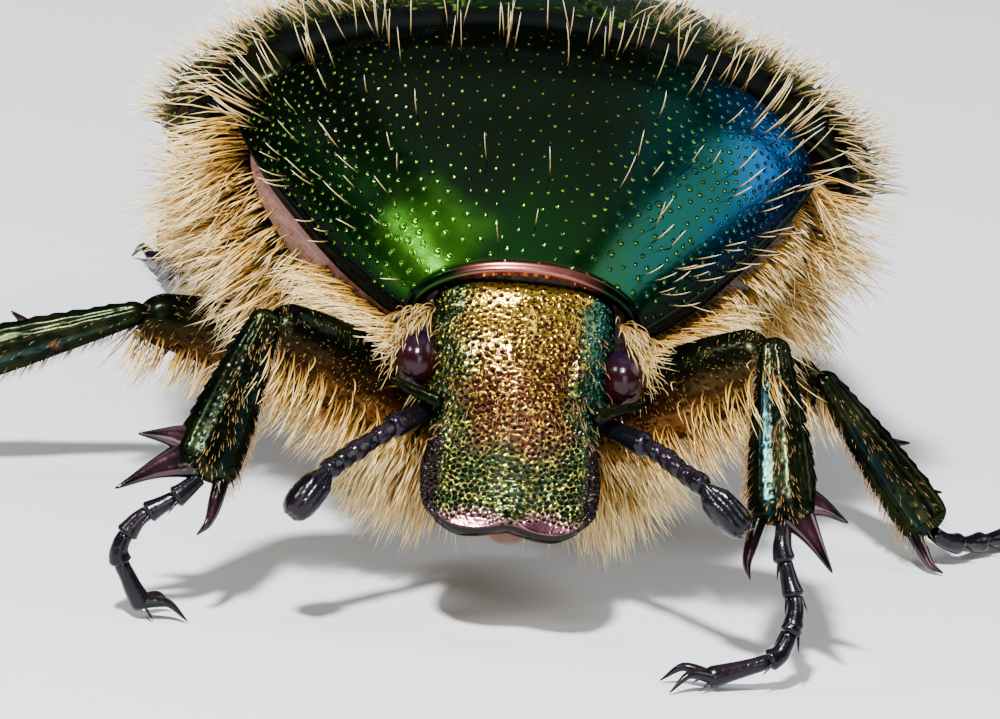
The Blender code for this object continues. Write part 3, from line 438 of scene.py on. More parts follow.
def shield_chitin():
    """Insect chitin in many clear layers, grown smooth. It shines like green metal, and painted
    glints make the pits yellow. A painted reflection makes it nearly black on the crown, a painted
    highlight bright green low on the right flank and a painted sky reflection teal and blue on the
    left one; a painted shade darkens its side edges. It is copper pink on the front margin."""
    made, tree, shader, place = new_material("layered_chitin_green")
    across, height = (add(tree, "SeparateXYZ", {"Vector": place}, axis) for axis in "XZ")
    off = add(tree, "VectorMath", {0: place, 1: PAINTED_HIGHLIGHT_PLACE * MM}, "Value", operation="DISTANCE")
    blotch = add(tree, "TexNoise", {"Vector": place, **grain(1.6, 3.0)})
    wander = add(tree, "MapRange", {"Value": blotch, "To Min": -0.9 * MM, "To Max": 0.9 * MM})
    side, level, around = (
        add(tree, "Math", {0: value, 1: wander}, operation="ADD") for value in (across, height, off)
    )
    # A painted reflection: the shield is painted darker on the crown and greener lower down.
    lower = add(tree, "MapRange", {"Value": level, **between(7.0, 5.5)}, **SOFT_STEP)
    # A painted highlight: a bright green patch on the right flank around that place.
    glow = add(tree, "MapRange", {"Value": around, **between(1.3, 0.3)}, **SOFT_STEP)
    # A painted sky reflection: teal, then blue, towards the left flank.
    teal = add(tree, "MapRange", {"Value": side, **between(0.9, 2.2)}, **SOFT_STEP)
    blue = add(tree, "MapRange", {"Value": side, **between(2.4, 3.9)}, **SOFT_STEP)
    far = add(tree, "Math", {0: across}, operation="ABSOLUTE")
    copper = add(tree, "MapRange", {"Value": far, **between(1.25, 0.6)}, **SOFT_STEP)
    rim = add(tree, "Mix", {SHARE: copper, FIRST: "#08120e", SECOND: "#8a4e4a"}, MIXED, **COLOURS)
    # The second mark is a painted shade towards the shield's side edges.
    margin, painted_edge_shade, pit = (
        add(tree, "Attribute", {}, "Fac", attribute_name=name)
        for name in ("margin", "painted_edge_shade", "pit")
    )
    # Painted glints: the pits are painted yellow-green, here and there as the noise picks, and dark
    # on the blue flank.
    painted_glint_share = add(tree, "MapRange", {"Value": pit, **span(0.3, 0.8)})
    chance = add(tree, "TexNoise", {"Vector": place, **grain(0.25)})
    spark = add(tree, "MapRange", {"Value": chance, **span(0.35, 0.6), "To Min": 0.15})
    painted_glint_share = add(tree, "Math", {0: painted_glint_share, 1: spark}, operation="MULTIPLY")
    glint = add(tree, "Mix", {SHARE: blue, FIRST: "#8ab82e", SECOND: "#04100e"}, MIXED, **COLOURS)
    tone = "#141d14"
    for share, colour in ((lower, "#103414"), (glow, "#46861e"), (teal, "#06322e"),
                          (blue, "#164470"), (painted_edge_shade, "#030a06"), (margin, rim), (painted_glint_share, glint)):
        tone = add(tree, "Mix", {SHARE: share, FIRST: tone, SECOND: colour}, MIXED, **COLOURS)
    gloss = add(tree, "TexNoise", {"Vector": place, **grain(0.35, 4.0)})
    rough = add(tree, "MapRange", {"Value": gloss, "To Min": 0.16, "To Max": 0.3})
    waves = add(tree, "Bump", {"Height": gloss, "Distance": 0.004 * MM}, "Normal")
    wire(tree, shader, {"Base Color": tone, "Metallic": 0.95, "Roughness": rough, "Normal": waves,
                        "Specular Tint": "#35584a", "Coat Weight": 0.04, "Coat Roughness": 0.08})
    return made


def wing_chitin():
    """The same layered chitin on the wing cases, a brighter green with copper sides and painted
    glints in its pits, and a painted shadow, black and dull, in front where the shield shades it.
    A few ragged chalk-white flecks, matt and rough, lie across the rear half."""
    made, tree, shader, place = new_material("layered_chitin_wing")
    across, back = (add(tree, "SeparateXYZ", {"Vector": place}, axis) for axis in "XY")
    blotch = add(tree, "TexNoise", {"Vector": place, **grain(2.2, 3.0)})
    far = add(tree, "Math", {0: across}, operation="ABSOLUTE")
    far = add(tree, "MapRange", {"Value": far, **between(3.9, 5.4)}, **SOFT_STEP)
    # A painted shadow: black and dull in front, where the shield shades the wing cases.
    hidden = add(tree, "MapRange", {"Value": back, **between(-0.9, -2.0)}, **SOFT_STEP)
    stretched = add(tree, "Mapping", {"Vector": place, "Scale": (0.4, 1.4, 0.8)})
    cells = {"Vector": stretched, "Scale": 1 / (0.8 * MM)}
    middle = add(tree, "TexVoronoi", cells, "Distance")
    chance = add(tree, "SeparateColor", {"Color": add(tree, "TexVoronoi", cells, "Color")})
    chalk = add(tree, "MapRange", {"Value": middle, **span(0.4, 0.33)}, **SOFT_STEP)
    chosen = add(tree, "MapRange", {"Value": chance, **span(0.7, 0.72)})
    rear = add(tree, "MapRange", {"Value": back, **between(2.2, 3.4)})
    torn = add(tree, "TexNoise", {"Vector": place, **grain(0.12)})
    ragged = add(tree, "MapRange", {"Value": torn, **span(0.42, 0.55)})
    for share in (chosen, rear, ragged):
        chalk = add(tree, "Math", {0: chalk, 1: share}, operation="MULTIPLY")
    # Painted glints: the pits are painted a bright green.
    pit = add(tree, "Attribute", {}, "Fac", attribute_name="pit")
    tone = "#0a2a14"
    for share, colour in ((blotch, "#1e5a1a"), (hidden, "#040806"), (far, "#2a1e0e"),
                          (pit, "#7fae3a"), (chalk, "#efe8d2")):
        tone = add(tree, "Mix", {SHARE: share, FIRST: tone, SECOND: colour}, MIXED, **COLOURS)
    metal = add(tree, "MapRange", {"Value": chalk, "To Min": 0.95, "To Max": 0.0})
    dry = add(tree, "MapRange", {"Value": chalk, "To Min": 0.26, "To Max": 0.8})
    dull = add(tree, "MapRange", {"Value": hidden, "To Max": 0.75})
    rough = add(tree, "Math", {0: dry, 1: dull}, operation="MAXIMUM")
    wire(tree, shader, {"Base Color": tone, "Metallic": metal, "Roughness": rough})
    return made


def face_chitin():
    """Layered chitin of the face, pitted so closely that only golden walls stand between the
    pits: gold and copper in the middle, the gold cells partly painted glints that crowd towards
    the top, green at the edges, pink along the front margin and dark bronze on the cheeks. The
    floors of the pits carry a painted shade."""
    made, tree, shader, place = new_material("layered_chitin_gold")
    across, height = (add(tree, "SeparateXYZ", {"Vector": place}, axis) for axis in "XZ")
    blotch = add(tree, "TexNoise", {"Vector": place, **grain(0.45, 4.0)})
    spread = add(tree, "TexNoise", {"Vector": place, **grain(0.2, 3.0)})
    dust = add(tree, "TexNoise", {"Vector": place, **grain(0.04)})
    cell = add(tree, "TexVoronoi", {"Vector": place, "Scale": 1 / (0.05 * MM)}, "Color")
    cell = add(tree, "SeparateColor", {"Color": cell})
    wander = add(tree, "MapRange", {"Value": blotch, "To Min": -0.5 * MM, "To Max": 0.5 * MM})
    far = add(tree, "Math", {0: across}, operation="ABSOLUTE")
    far, level = (
        add(tree, "Math", {0: value, 1: wander}, operation="ADD") for value in (far, height)
    )
    edge = add(tree, "MapRange", {"Value": far, **between(0.6, 1.0)}, **SOFT_STEP)
    low = add(tree, "MapRange", {"Value": level, **between(3.35, 2.75)}, **SOFT_STEP)
    leftward = add(tree, "MapRange", {"Value": across, **between(0.7, 1.2)}, **SOFT_STEP)
    # Painted glints: gold cells that crowd towards the top of the face, where the light falls.
    golden = {"Value": height, **between(4.0, 4.9), "To Min": 0.24, "To Max": 0.9}
    golden = add(tree, "MapRange", golden)
    lit, some = (
        add(tree, "Math", {0: cell, 1: share}, operation="LESS_THAN") for share in (golden, 0.26)
    )
    red = add(tree, "Mix", {SHARE: spread, FIRST: "#30140e", SECOND: "#70401c"}, MIXED, **COLOURS)
    mossy = add(tree, "Mix", {SHARE: blotch, FIRST: "#0e2812", SECOND: "#3a4820"}, MIXED, **COLOURS)
    green = add(tree, "Mix", {SHARE: some, FIRST: mossy, SECOND: "#847e2c"}, MIXED, **COLOURS)
    teal = add(tree, "Mix", {SHARE: leftward, FIRST: green, SECOND: "#0a4034"}, MIXED, **COLOURS)
    margin, cheek, pit = (
        add(tree, "Attribute", {}, "Fac", attribute_name=name)
        for name in ("margin", "cheek", "pit")
    )
    # A painted shade in the floors of the pits.
    floor = add(tree, "MapRange", {"Value": pit, **span(0.1, 0.7)})
    tone = red
    for share, colour in ((lit, "#b08c2c"), (edge, teal), (low, green), (margin, "#94606a"),
                          (cheek, "#1c1212"), (floor, "#0e0806")):
        tone = add(tree, "Mix", {SHARE: share, FIRST: tone, SECOND: colour}, MIXED, **COLOURS)
    coarse = add(tree, "Bump", {"Height": spread, "Distance": 0.006 * MM}, "Normal")
    fine = {"Height": dust, "Distance": 0.006 * MM, "Normal": coarse}
    sparkle = add(tree, "Bump", fine, "Normal")
    wire(tree, shader, {"Base Color": tone, "Metallic": 0.95, "Roughness": 0.15, "Normal": sparkle,
                        "Specular Tint": "#8a7a6a", "Coat Weight": 0.2, "Coat Roughness": 0.06})
    return made


def leg_chitin():
    """Tough leg chitin, nearly black bronze green and roughly pitted, with a blue-green streak
    down the front of the shins, amber under the thighs, painted warm copper glints and a painted
    shade in the pits."""
    made, tree, shader, place = new_material("leg_chitin_bronze")
    blotch = add(tree, "TexNoise", {"Vector": place, **grain(0.7, 4.0)})
    patch = add(tree, "MapRange", {"Value": blotch, **span(0.35, 0.65)}, **SOFT_STEP)
    glow = add(tree, "TexNoise", {"Vector": place, **grain(0.4, 3.0)})
    # Painted glints: warm copper patches where the noise is high.
    warm = add(tree, "MapRange", {"Value": glow, **span(0.66, 0.78)}, **SOFT_STEP)
    streak, amber, pit = (
        add(tree, "Attribute", {}, "Fac", attribute_name=name)
        for name in ("streak", "amber", "pit")
    )
    tone = "#070d08"
    # The last colour is a painted shade in the pits.
    for share, colour in ((patch, "#1c2010"), (streak, "#0a2c32"), (warm, "#4a2c24"),
                          (amber, "#7c4a1e"), (pit, "#0a0806")):
        tone = add(tree, "Mix", {SHARE: share, FIRST: tone, SECOND: colour}, MIXED, **COLOURS)
    dents = add(tree, "Bump", {"Height": glow, "Distance": 0.01 * MM}, "Normal")
    wire(tree, shader, {"Base Color": tone, "Metallic": 0.85, "Roughness": 0.22, "Normal": dents,
                        "Specular Tint": "#4a5a4c"})
    return made


def horn_chitin():
    """Near-black chitin of feelers, feet and claws, finely wrinkled, with a blue-violet gloss."""
    made, tree, shader, place = new_material("horn_chitin_black")
    wrinkle = add(tree, "TexNoise", {"Vector": place, **grain(0.09, 5.0)})
    blotch = add(tree, "TexNoise", {"Vector": place, **grain(0.5)})
    share = add(tree, "MapRange", {"Value": blotch, **span(0.4, 0.65)}, **SOFT_STEP)
    tone = add(tree, "Mix", {SHARE: share, FIRST: "#050509", SECOND: "#120a12"}, MIXED, **COLOURS)
    rough = add(tree, "MapRange", {"Value": wrinkle, "To Min": 0.12, "To Max": 0.28})
    dents = add(tree, "Bump", {"Height": wrinkle, "Distance": 0.009 * MM}, "Normal")
    wire(tree, shader, {"Base Color": tone, "Roughness": rough, "Specular IOR Level": 0.2,
                        "Normal": dents})
    return made


def tooth_chitin():
    """Teeth and spurs of the shins: polished chitin, bronze at the root, a painted pink highlight
    along its length and black-red at the tip."""
    made, tree, shader, place = new_material("tooth_chitin_pink")
    along = add(tree, "Attribute", {}, "Fac", attribute_name="along")
    blotch = add(tree, "TexNoise", {"Vector": place, **grain(0.25, 3.0)})
    # A painted pink highlight along the middle of each tooth.
    pink = add(tree, "Mix", {SHARE: blotch, FIRST: "#160a0e", SECOND: "#4e2e38"}, MIXED, **COLOURS)
    painted_highlight_share = add(tree, "MapRange", {"Value": along, **span(0.24, 0.5)}, **SOFT_STEP)
    tip = add(tree, "MapRange", {"Value": along, **span(0.58, 0.84)}, **SOFT_STEP)
    tone = "#0c0e0a"
    for share, colour in ((painted_highlight_share, pink), (tip, "#0c0508")):
        tone = add(tree, "Mix", {SHARE: share, FIRST: tone, SECOND: colour}, MIXED, **COLOURS)
    dents = add(tree, "Bump", {"Height": blotch, "Distance": 0.012 * MM}, "Normal")
    wire(tree, shader, {"Base Color": tone, "Metallic": 0.85, "Roughness": 0.16, "Normal": dents,
                        "Coat Weight": 0.5, "Coat Roughness": 0.08})
    return made


def eye_lens():
    """A compound eye: a skin of tiny clear six-sided lenses over dark garnet pigment, with a painted
    violet reflection where it is turned up. The lenses are drawn about twice as coarse as the real
    ones."""
    made, tree, shader, place = new_material("eye_lens_garnet")
    height = add(tree, "SeparateXYZ", {"Vector": place}, "Z")
    # A painted violet reflection on the upper part of the eye.
    upper = add(tree, "MapRange", {"Value": height, **between(4.1, 4.8)}, **SOFT_STEP)
    tone = add(tree, "Mix", {SHARE: upper, FIRST: "#160204", SECOND: "#120a2a"}, MIXED, **COLOURS)
    cells = {"Vector": place, "Scale": 1 / (0.05 * MM), "Randomness": 0.3}
    lenses = add(tree, "TexVoronoi", cells, "Distance")
    domes = add(tree, "Bump", {"Height": lenses, "Distance": 0.002 * MM}, "Normal", **SUNK)
    wire(tree, shader, {"Base Color": tone, "Roughness": 0.2, "Specular IOR Level": 0.22,
                        "Normal": domes})
    return made


def flank_chitin():
    """Thin chitin of the underside, dark between the roots of the hair, and pinkish brown where
    the skin beside the shield is bare."""
    made, tree, shader, place = new_material("underside_chitin_brown")
    blotch = add(tree, "TexNoise", {"Vector": place, **grain(0.8, 3.0)})
    fine = add(tree, "TexVoronoi", {"Vector": place, "Scale": 1 / (0.16 * MM)}, "Distance")
    bare = add(tree, "Attribute", {}, "Fac", attribute_name="bare")
    tone = "#0e0906"
    for share, colour in ((blotch, "#20140c"), (bare, "#744840")):
        tone = add(tree, "Mix", {SHARE: share, FIRST: tone, SECOND: colour}, MIXED, **COLOURS)
    dents = add(tree, "Bump", {"Height": fine, "Distance": 0.04 * MM}, "Normal")
    wire(tree, shader, {"Base Color": tone, "Metallic": 0.2, "Roughness": 0.5, "Normal": dents})
    return made


def belly_chitin():
    """Smooth coppery dark chitin of the belly plates, with scattered pits whose floors carry a
    painted shade.
    """
    made, tree, shader, place = new_material("belly_chitin_copper")
    blotch = add(tree, "TexNoise", {"Vector": place, **grain(1.5, 3.0)})
    pit = add(tree, "Attribute", {}, "Fac", attribute_name="pit")
    tone = "#241a10"
    # The pits' colour is a painted shade.
    for share, colour in ((blotch, "#6a4a28"), (pit, "#120c08")):
        tone = add(tree, "Mix", {SHARE: share, FIRST: tone, SECOND: colour}, MIXED, **COLOURS)
    wire(tree, shader, {"Base Color": tone, "Metallic": 0.8, "Roughness": 0.28})
    return made


def mouth_chitin():
    """Soft brown chitin of the lip, chin and palps, a little clear at the edges."""
    made, tree, shader, place = new_material("mouth_chitin_amber")
    blotch = add(tree, "TexNoise", {"Vector": place, **grain(0.3, 3.0)})
    tone = add(tree, "Mix", {SHARE: blotch, FIRST: "#241004", SECOND: "#62320a"}, MIXED, **COLOURS)
    dents = add(tree, "Bump", {"Height": blotch, "Distance": 0.02 * MM}, "Normal")
    wire(tree, shader, {"Base Color": tone, "Roughness": 0.35, "Subsurface Weight": 0.05,
                        "Subsurface Radius": (0.2 * MM, 0.1 * MM, 0.05 * MM), "Normal": dents})
    return made


def hair_chitin(name, root, middle, tip):
    """Insect hair, a fine clear thread of chitin: dark where it is rooted, a painted shade deep in
    the coat, straw gold along its length and pale at the tip, with a soft gloss."""
    made, tree, shader, place = new_material(name)
    along = add(tree, "Attribute", {}, "Fac", attribute_name="along")
    blotch = add(tree, "TexNoise", {"Vector": place, **grain(0.9, 3.0)})
    near = add(tree, "MapRange", {"Value": along, **span(0.05, 0.55)}, **SOFT_STEP)
    far = add(tree, "MapRange", {"Value": along, **span(0.45, 1.0)}, **SOFT_STEP)
    some = add(tree, "MapRange", {"Value": blotch, **span(0.45, 0.75), "To Max": 0.6})
    tone = root
    for share, colour in ((near, middle), (far, tip), (some, middle)):
        tone = add(tree, "Mix", {SHARE: share, FIRST: tone, SECOND: colour}, MIXED, **COLOURS)
    wire(tree, shader, {"Base Color": tone, "Roughness": 0.3})
    return made


def studio_card():
    """The matt pale card that the beetle stands on."""
    made, tree, shader, place = new_material("matt_card_pale")
    fibre = add(tree, "TexNoise", {"Vector": place, **grain(25.0, 3.0)})
    tone = add(tree, "Mix", {SHARE: fibre, FIRST: "#c4c7cc", SECOND: "#cbced2"}, MIXED, **COLOURS)
    wire(tree, shader, {"Base Color": tone, "Roughness": 0.8})
    return made


LOOK = {
    "shield": shield_chitin(),
    "wing": wing_chitin(),
    "face": face_chitin(),
    "leg": leg_chitin(),
    "horn": horn_chitin(),
    "tooth": tooth_chitin(),
    "eye": eye_lens(),
    "flank": flank_chitin(),
    "belly": belly_chitin(),
    "mouth": mouth_chitin(),
    # Each coat's first colour, its dark root, is a painted shade deep in the coat.
    "hair": hair_chitin("hair_chitin_straw", "#150c04", "#bc8c34", "#fae4a4"),
    "bristle": hair_chitin("bristle_chitin_pale", "#2a1e0e", "#b89c60", "#f4e8c4"),
    "dark_bristle": hair_chitin("bristle_chitin_dark", "#14100a", "#6a4a1e", "#c8a460"),
}


def placed(piece, slot, *nodes):
    """Every piece moves with the one body, and the imported parts that it replaces are hidden. The
    slot is not used.
    """
    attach(piece, WHOLE_BODY)
    if nodes:
        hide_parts(*nodes)
    return piece


# Surfaces of the body, as functions of arrays

def trunk_surface(y, angle, inset=0.0):
    """The trunk under the wing cases. Angle 0 is the left side and 90 degrees the back."""
    half_width = wing_half_width(np.maximum(y, SHOULDER)) - 0.8 - inset
    front = np.minimum(half_width, 4.05 + 0.4 * y - inset)
    half_width = np.where(y < SHOULDER, front, half_width)
    middle = wing_edge(y) - 0.35
    top = np.minimum(wing_top(np.maximum(y, WING_START)) - 0.83, -0.9) - inset
    upper = np.sin(angle) >= 0
    square = np.where(upper, 2 / 2.2, 2 / 1.9)
    x = half_width * signed_power(np.cos(angle), square)
    reach = np.where(upper, top - middle, middle - belly(y) - inset)
    z = middle + reach * signed_power(np.sin(angle), square)
    return in_trunk(np.stack([x, y + 0 * x, z], axis=-1))


def shield_surface(share, angle, grow=0.0):
    """The prothorax: the upper half turn is the shield, and the lower its hairy underside."""
    half_width, top = pronotum_half_width(share) + grow, pronotum_top(share) + grow
    edge, bottom = pronotum_edge(share), prosternum(share)
    upper = np.sin(angle) >= -1e-9
    tilt = REAR_TILT + share * (FRONT_TILT - REAR_TILT)
    square = np.where(upper, 2 / 2.1, 2 / 1.7)
    x = np.where(upper, half_width, half_width - LIP) * signed_power(np.cos(angle), square)
    rise = np.where(upper, top - edge, edge - LIP - bottom) * signed_power(np.sin(angle), square)
    z = np.where(upper, edge, edge - LIP) + rise
    y = JOINT_Y - 0.22 - PROTHORAX_LENGTH * share + (top - z) * np.tan(tilt)
    y = y - (1 - share) ** 3 * REAR_BOW * (x / 4.0) ** 2
    return np.stack([x, y, z], axis=-1)


def wing_surface(y, share):
    """A wing case's outer face, on the left: share 0 is the seam and 1 the side edge."""
    half_width, top, edge = wing_half_width(y), wing_top(y), wing_edge(y)
    inner = SUTURE + np.where(y < SCUTELLUM_END, scutellum_half_width(y) + 0.02, 0.0)
    start = np.arcsin(np.minimum(0.98, (inner / half_width) ** (WING_ROUND / 2)))
    angle = start + (math.pi / 2 - start) * share
    x = half_width * np.sin(angle) ** (2 / WING_ROUND)
    z = edge + (top - edge) * np.maximum(np.cos(angle), 0.0) ** (2 / WING_ROUND)
    behind = ramp(y, 4.0, 2.0) * ramp(y, 11.0, -1.5)
    costa = crest(x - 0.52 * half_width, 0.4)
    trough = crest(x - 0.24 * half_width, 0.5)
    return np.stack([x, y + 0 * x, z + 0.12 * behind * (costa - trough)], axis=-1)


def head_surface(distance, angle):
    """The head. Angle 90 degrees is the middle of the face."""
    half_width, crown, depth = (f(distance) for f in (head_half_width, head_crown, head_depth))
    square = np.where(distance > 2.2, 2 / 3.2, 2 / 2.5)
    x = half_width * signed_power(np.cos(angle), square)
    z = crown - depth / 2 + depth / 2 * signed_power(np.sin(angle), square)
    front = ramp(distance, CLYPEUS_START, HEAD_LENGTH - CLYPEUS_START)
    y = -distance + front * CLYPEUS_NOTCH * crest(x, 0.3)
    y = y + front * 0.22 * ramp(np.abs(x), 0.62, 0.5) ** 2
    return np.stack([x, y, z], axis=-1)


# Plates

# Between the pits on the shield's crown, and how much closer they stand at its sides
PIT_SPACING, CROWDED = 0.23, 0.1


def shield_spacing(places):
    """The pits of the shield crowd towards its sides."""
    return PIT_SPACING - CROWDED * ramp(np.abs(places[:, 0]), 1.0, 2.6)


def make_shield(draw):
    """The pronotum: a thick plate with a bead along its sides and its front margin."""
    share, angle = np.meshgrid(
        np.concatenate([np.linspace(0, 0.95, 260), np.linspace(0.9525, 1.0, 25)]),
        np.concatenate([np.linspace(0, 0.12, 12), np.linspace(0.13, math.pi - 0.13, 433),
                        np.linspace(math.pi - 0.12, math.pi, 12)]),
        indexing="ij",
    )
    outer = shield_surface(share, angle)
    from_side = np.minimum(angle, math.pi - angle)
    side_bead = 0.055 * crest(from_side - 0.035, 0.03)
    front_bead = 0.035 * crest(share - 0.988, 0.008) * np.clip(np.sin(angle) * 4, 0, 1)
    outer[..., 0] += side_bead * np.sign(np.cos(angle))
    outer[..., 2] += front_bead + side_bead * 0.5
    outer[..., 1] -= front_bead * 0.5
    thick = 0.22 - 0.12 * ramp(share, 0.9, 0.1)
    inner = outer * [0.965, 1, 1] - thick[..., None] * [0, 0, 1]
    outer[share < 0.004] -= [0, 0, 0.08]
    shield = plate_piece("shield_plate", outer, inner, "shield")
    margin = np.clip(crest(share - 0.993, 0.011) + (from_side < 0.07), 0, 1).ravel()
    mark(shield, "margin", margin, 1)
    # A painted shade that darkens the shield towards its side edges.
    mark(shield, "painted_edge_shade", 0.9 * crest(from_side, 0.34), 1)

    def spacing(places):
        return shield_spacing(places[: margin.size]) * (margin <= 0.3)

    engrave(shield, draw, 0.037, 0.024, spacing)
    placed(shield, "green_cuticle", "prothorax")


def make_shield_underside():
    """The body of the prothorax under its shield: bare pink skin beside the right margin, where
    the photo shows it, and brown below and on the left."""
    share, angle = np.meshgrid(np.linspace(0.0, 0.965, 60), whole_turn(120), indexing="ij")
    under = -0.3 + 0.14 * ramp(share, 0.9, 0.1)
    rings = shield_surface(share, angle, under * (np.sin(angle) >= 0))
    bulge = 0.12 * np.sign(np.cos(angle)) * np.abs(np.cos(angle))
    rings[..., 0] += np.where(np.sin(angle) < 0, bulge, 0)
    fold = 0.05 * crest(share - 0.45, 0.05) * (np.sin(angle) < 0)
    rings[..., 2] += fold
    made = ring_piece("shield_underside", rings, "flank")
    low = np.clip(1.3 - np.abs(np.sin(angle)) * 1.7, 0, 1) * (np.sin(angle) < 0.05) * (share < 0.95)
    mark(made, "bare", low * (np.cos(angle) < 0))
    placed(made, "golden_hair")


def make_wing_case(side, name, node, draw):
    """A wing case, finely drawn, with a rounded edge turned under and rows of shallow pits."""
    y, share = np.meshgrid(
        WING_START - 0.06 + (WING_END - WING_START + 0.06) * np.linspace(0, 1, 281) ** 0.97,
        np.sin(np.linspace(0, math.pi / 2, 141)),
        indexing="ij",
    )
    outer = wing_surface(y, share)
    ends = np.minimum((y - y[0, 0]) / 0.3, (y[-1, 0] - y) / 0.2)
    edge = np.minimum(1, np.minimum((1 - share) / 0.04, ends))
    rounding = 1 - np.sqrt(np.clip(1 - (1 - edge) ** 2, 0, 1))
    inner = outer * [0.965, 1, 1] - [0, 0, CASE_THICKNESS]
    inner[..., 1] = np.minimum(inner[..., 1], WING_END - 0.15)
    outer = outer + (inner - outer) * (rounding * 0.5)[..., None]
    turn = [side, 1, 1]
    made = plate_piece(name, in_trunk(outer * turn), in_trunk(inner * turn), "wing")
    engrave(made, draw, 0.06, 0.025, 0.22 * (y > WING_START + 0.3))
    placed(made, "green_cuticle", node)


def make_scutellum(draw):
    length = np.linspace(0.25, SCUTELLUM_END + 0.04, 61)
    y, across = np.meshgrid(length, np.linspace(-1, 1, 61), indexing="ij")
    x = scutellum_half_width(y) * across
    outer = np.stack([x, y, wing_top(y) - 0.05 * x * x - 0.05 * np.abs(across) ** 6], axis=-1)
    made = plate_piece("scutellum_plate", in_trunk(outer), in_trunk(outer - [0, 0, 0.3]), "wing")
    engrave(made, draw, 0.05, 0.02, 0.3 * (y > 0.7))
    placed(made, "green_cuticle", "scutellum")


def make_thorax():
    """The sides and underside of the trunk, with the seams between its plates."""
    y, angle = np.meshgrid(np.linspace(-0.05, 6.8, 90), whole_turn(120), indexing="ij")
    inset = 0.5 * crest(y + 0.05, 0.15)
    seams = 0.12 * crest(y - 2.9, 0.12) + 0.1 * crest(y - 5.6, 0.14)
    middle = 0.08 * crest(angle - 1.5 * math.pi, 0.05)
    inset = inset + (seams + middle) * (np.sin(angle) < 0)
    made = ring_piece("thorax_plates", trunk_surface(y, angle, inset), "flank")
    mark(made, "bare", 0)
    placed(made, "golden_hair", "thorax")


def make_waist():
    """The dark skin that joins prothorax and trunk, seen in the gap between them."""
    y = np.linspace(-3.3, -2.0, 14)
    size = 1 - 0.06 * np.sin(np.linspace(0, 3 * math.pi, 14))
    centres = np.stack([0 * y, y, 5.35 + 0 * y], axis=1)
    waist = ring_solid(limb_rings(centres, 3.6 * size, 2.2 * size, (1, 0, 0), 64, 2.2))
    placed(joined("waist_skin", [waist], "flank"), "golden_hair")
    corners = []
    for side in (LEFT, RIGHT):
        corner = [(side * 3.7, -2.75, 7.0), (side * 4.4, -2.62, 6.75), (side * 4.95, -2.35, 6.2),
                  (side * 5.15, -2.1, 5.6)]
        route = smooth_route(corner, 30)
        size = rounded_ends(np.linspace(0, 1, 30), 0.3)
        corners.append(ring_solid(limb_rings(route, 0.42 * size, 0.16 * size, (0, 0.8, 0.6), 24)))
    placed(joined("shoulder_plates", corners, "leg"), "green_cuticle")


def make_abdomen(draw):
    """Five belly plates that overlap like tiles."""
    y, angle = np.meshgrid(np.linspace(6.7, 11.4, 130), whole_turn(140), indexing="ij")
    step = ((y - 6.95) / 0.84) % 1.0
    tile = 0.13 * ramp(step, 0.86, 0.05) - 0.03 * np.sin(step * math.pi)
    inset = 0.04 + tile * (y < 10.9) + 0.9 * ramp(y, 10.9, 0.5) ** 2
    made = ring_piece("belly_plates", trunk_surface(y, angle, inset), "belly")
    engrave(made, draw, 0.07, 0.03, 0.4)
    placed(made, "bronze_leg", "abdomen")


def egg(centre, radii, rows=32, columns=40):
    """A closed rounded body, as rings from one end of Z to the other."""
    rise = np.linspace(-math.pi / 2 + 0.04, math.pi / 2 - 0.04, rows)
    rise, turn = np.meshgrid(rise, whole_turn(columns), indexing="ij")
    round_points = [np.cos(rise) * np.cos(turn), np.cos(rise) * np.sin(turn), np.sin(rise)]
    return np.stack(round_points, axis=-1) * radii + centre


def make_pygidium(draw):
    rings = in_frame(egg((0, 0, 0), (2.2, 0.42, 1.0), 50, 90), 11.82, -4.72, math.radians(-28))
    made = ring_piece("tail_plate", in_trunk(rings), "wing")
    engrave(made, draw, 0.06, 0.025, 0.22)
    placed(made, "green_cuticle", "pygidium")


# Head

def face_relief(x, distance):
    """Raised forms of the face: a keel down its middle, a ridge over each eye and the turned-up
    edges of the clypeus."""
    far = np.abs(x)
    keel = 0.1 * crest(x, 0.11) * crest(distance - 0.75, 0.45)
    swell = 0.05 * crest(x, 0.4) * crest(distance - 2.0, 0.6)
    swell = swell + 0.25 * crest(distance - 0.08, 0.26)
    brow = 0.07 * crest(far - 0.88, 0.12) * crest(distance - 1.5, 0.55)
    side = 0.07 * crest(far - 1.02, 0.08) * ramp(distance, 2.25, 0.3)
    notch = CLYPEUS_NOTCH * crest(x, 0.3)
    front = 0.15 * ramp(distance + notch, 3.45, 0.35) ** 1.5
    hollow = -0.05 * crest(far - 0.5, 0.25) * crest(distance - 3.0, 0.4)
    return keel + swell + brow + side + front + hollow


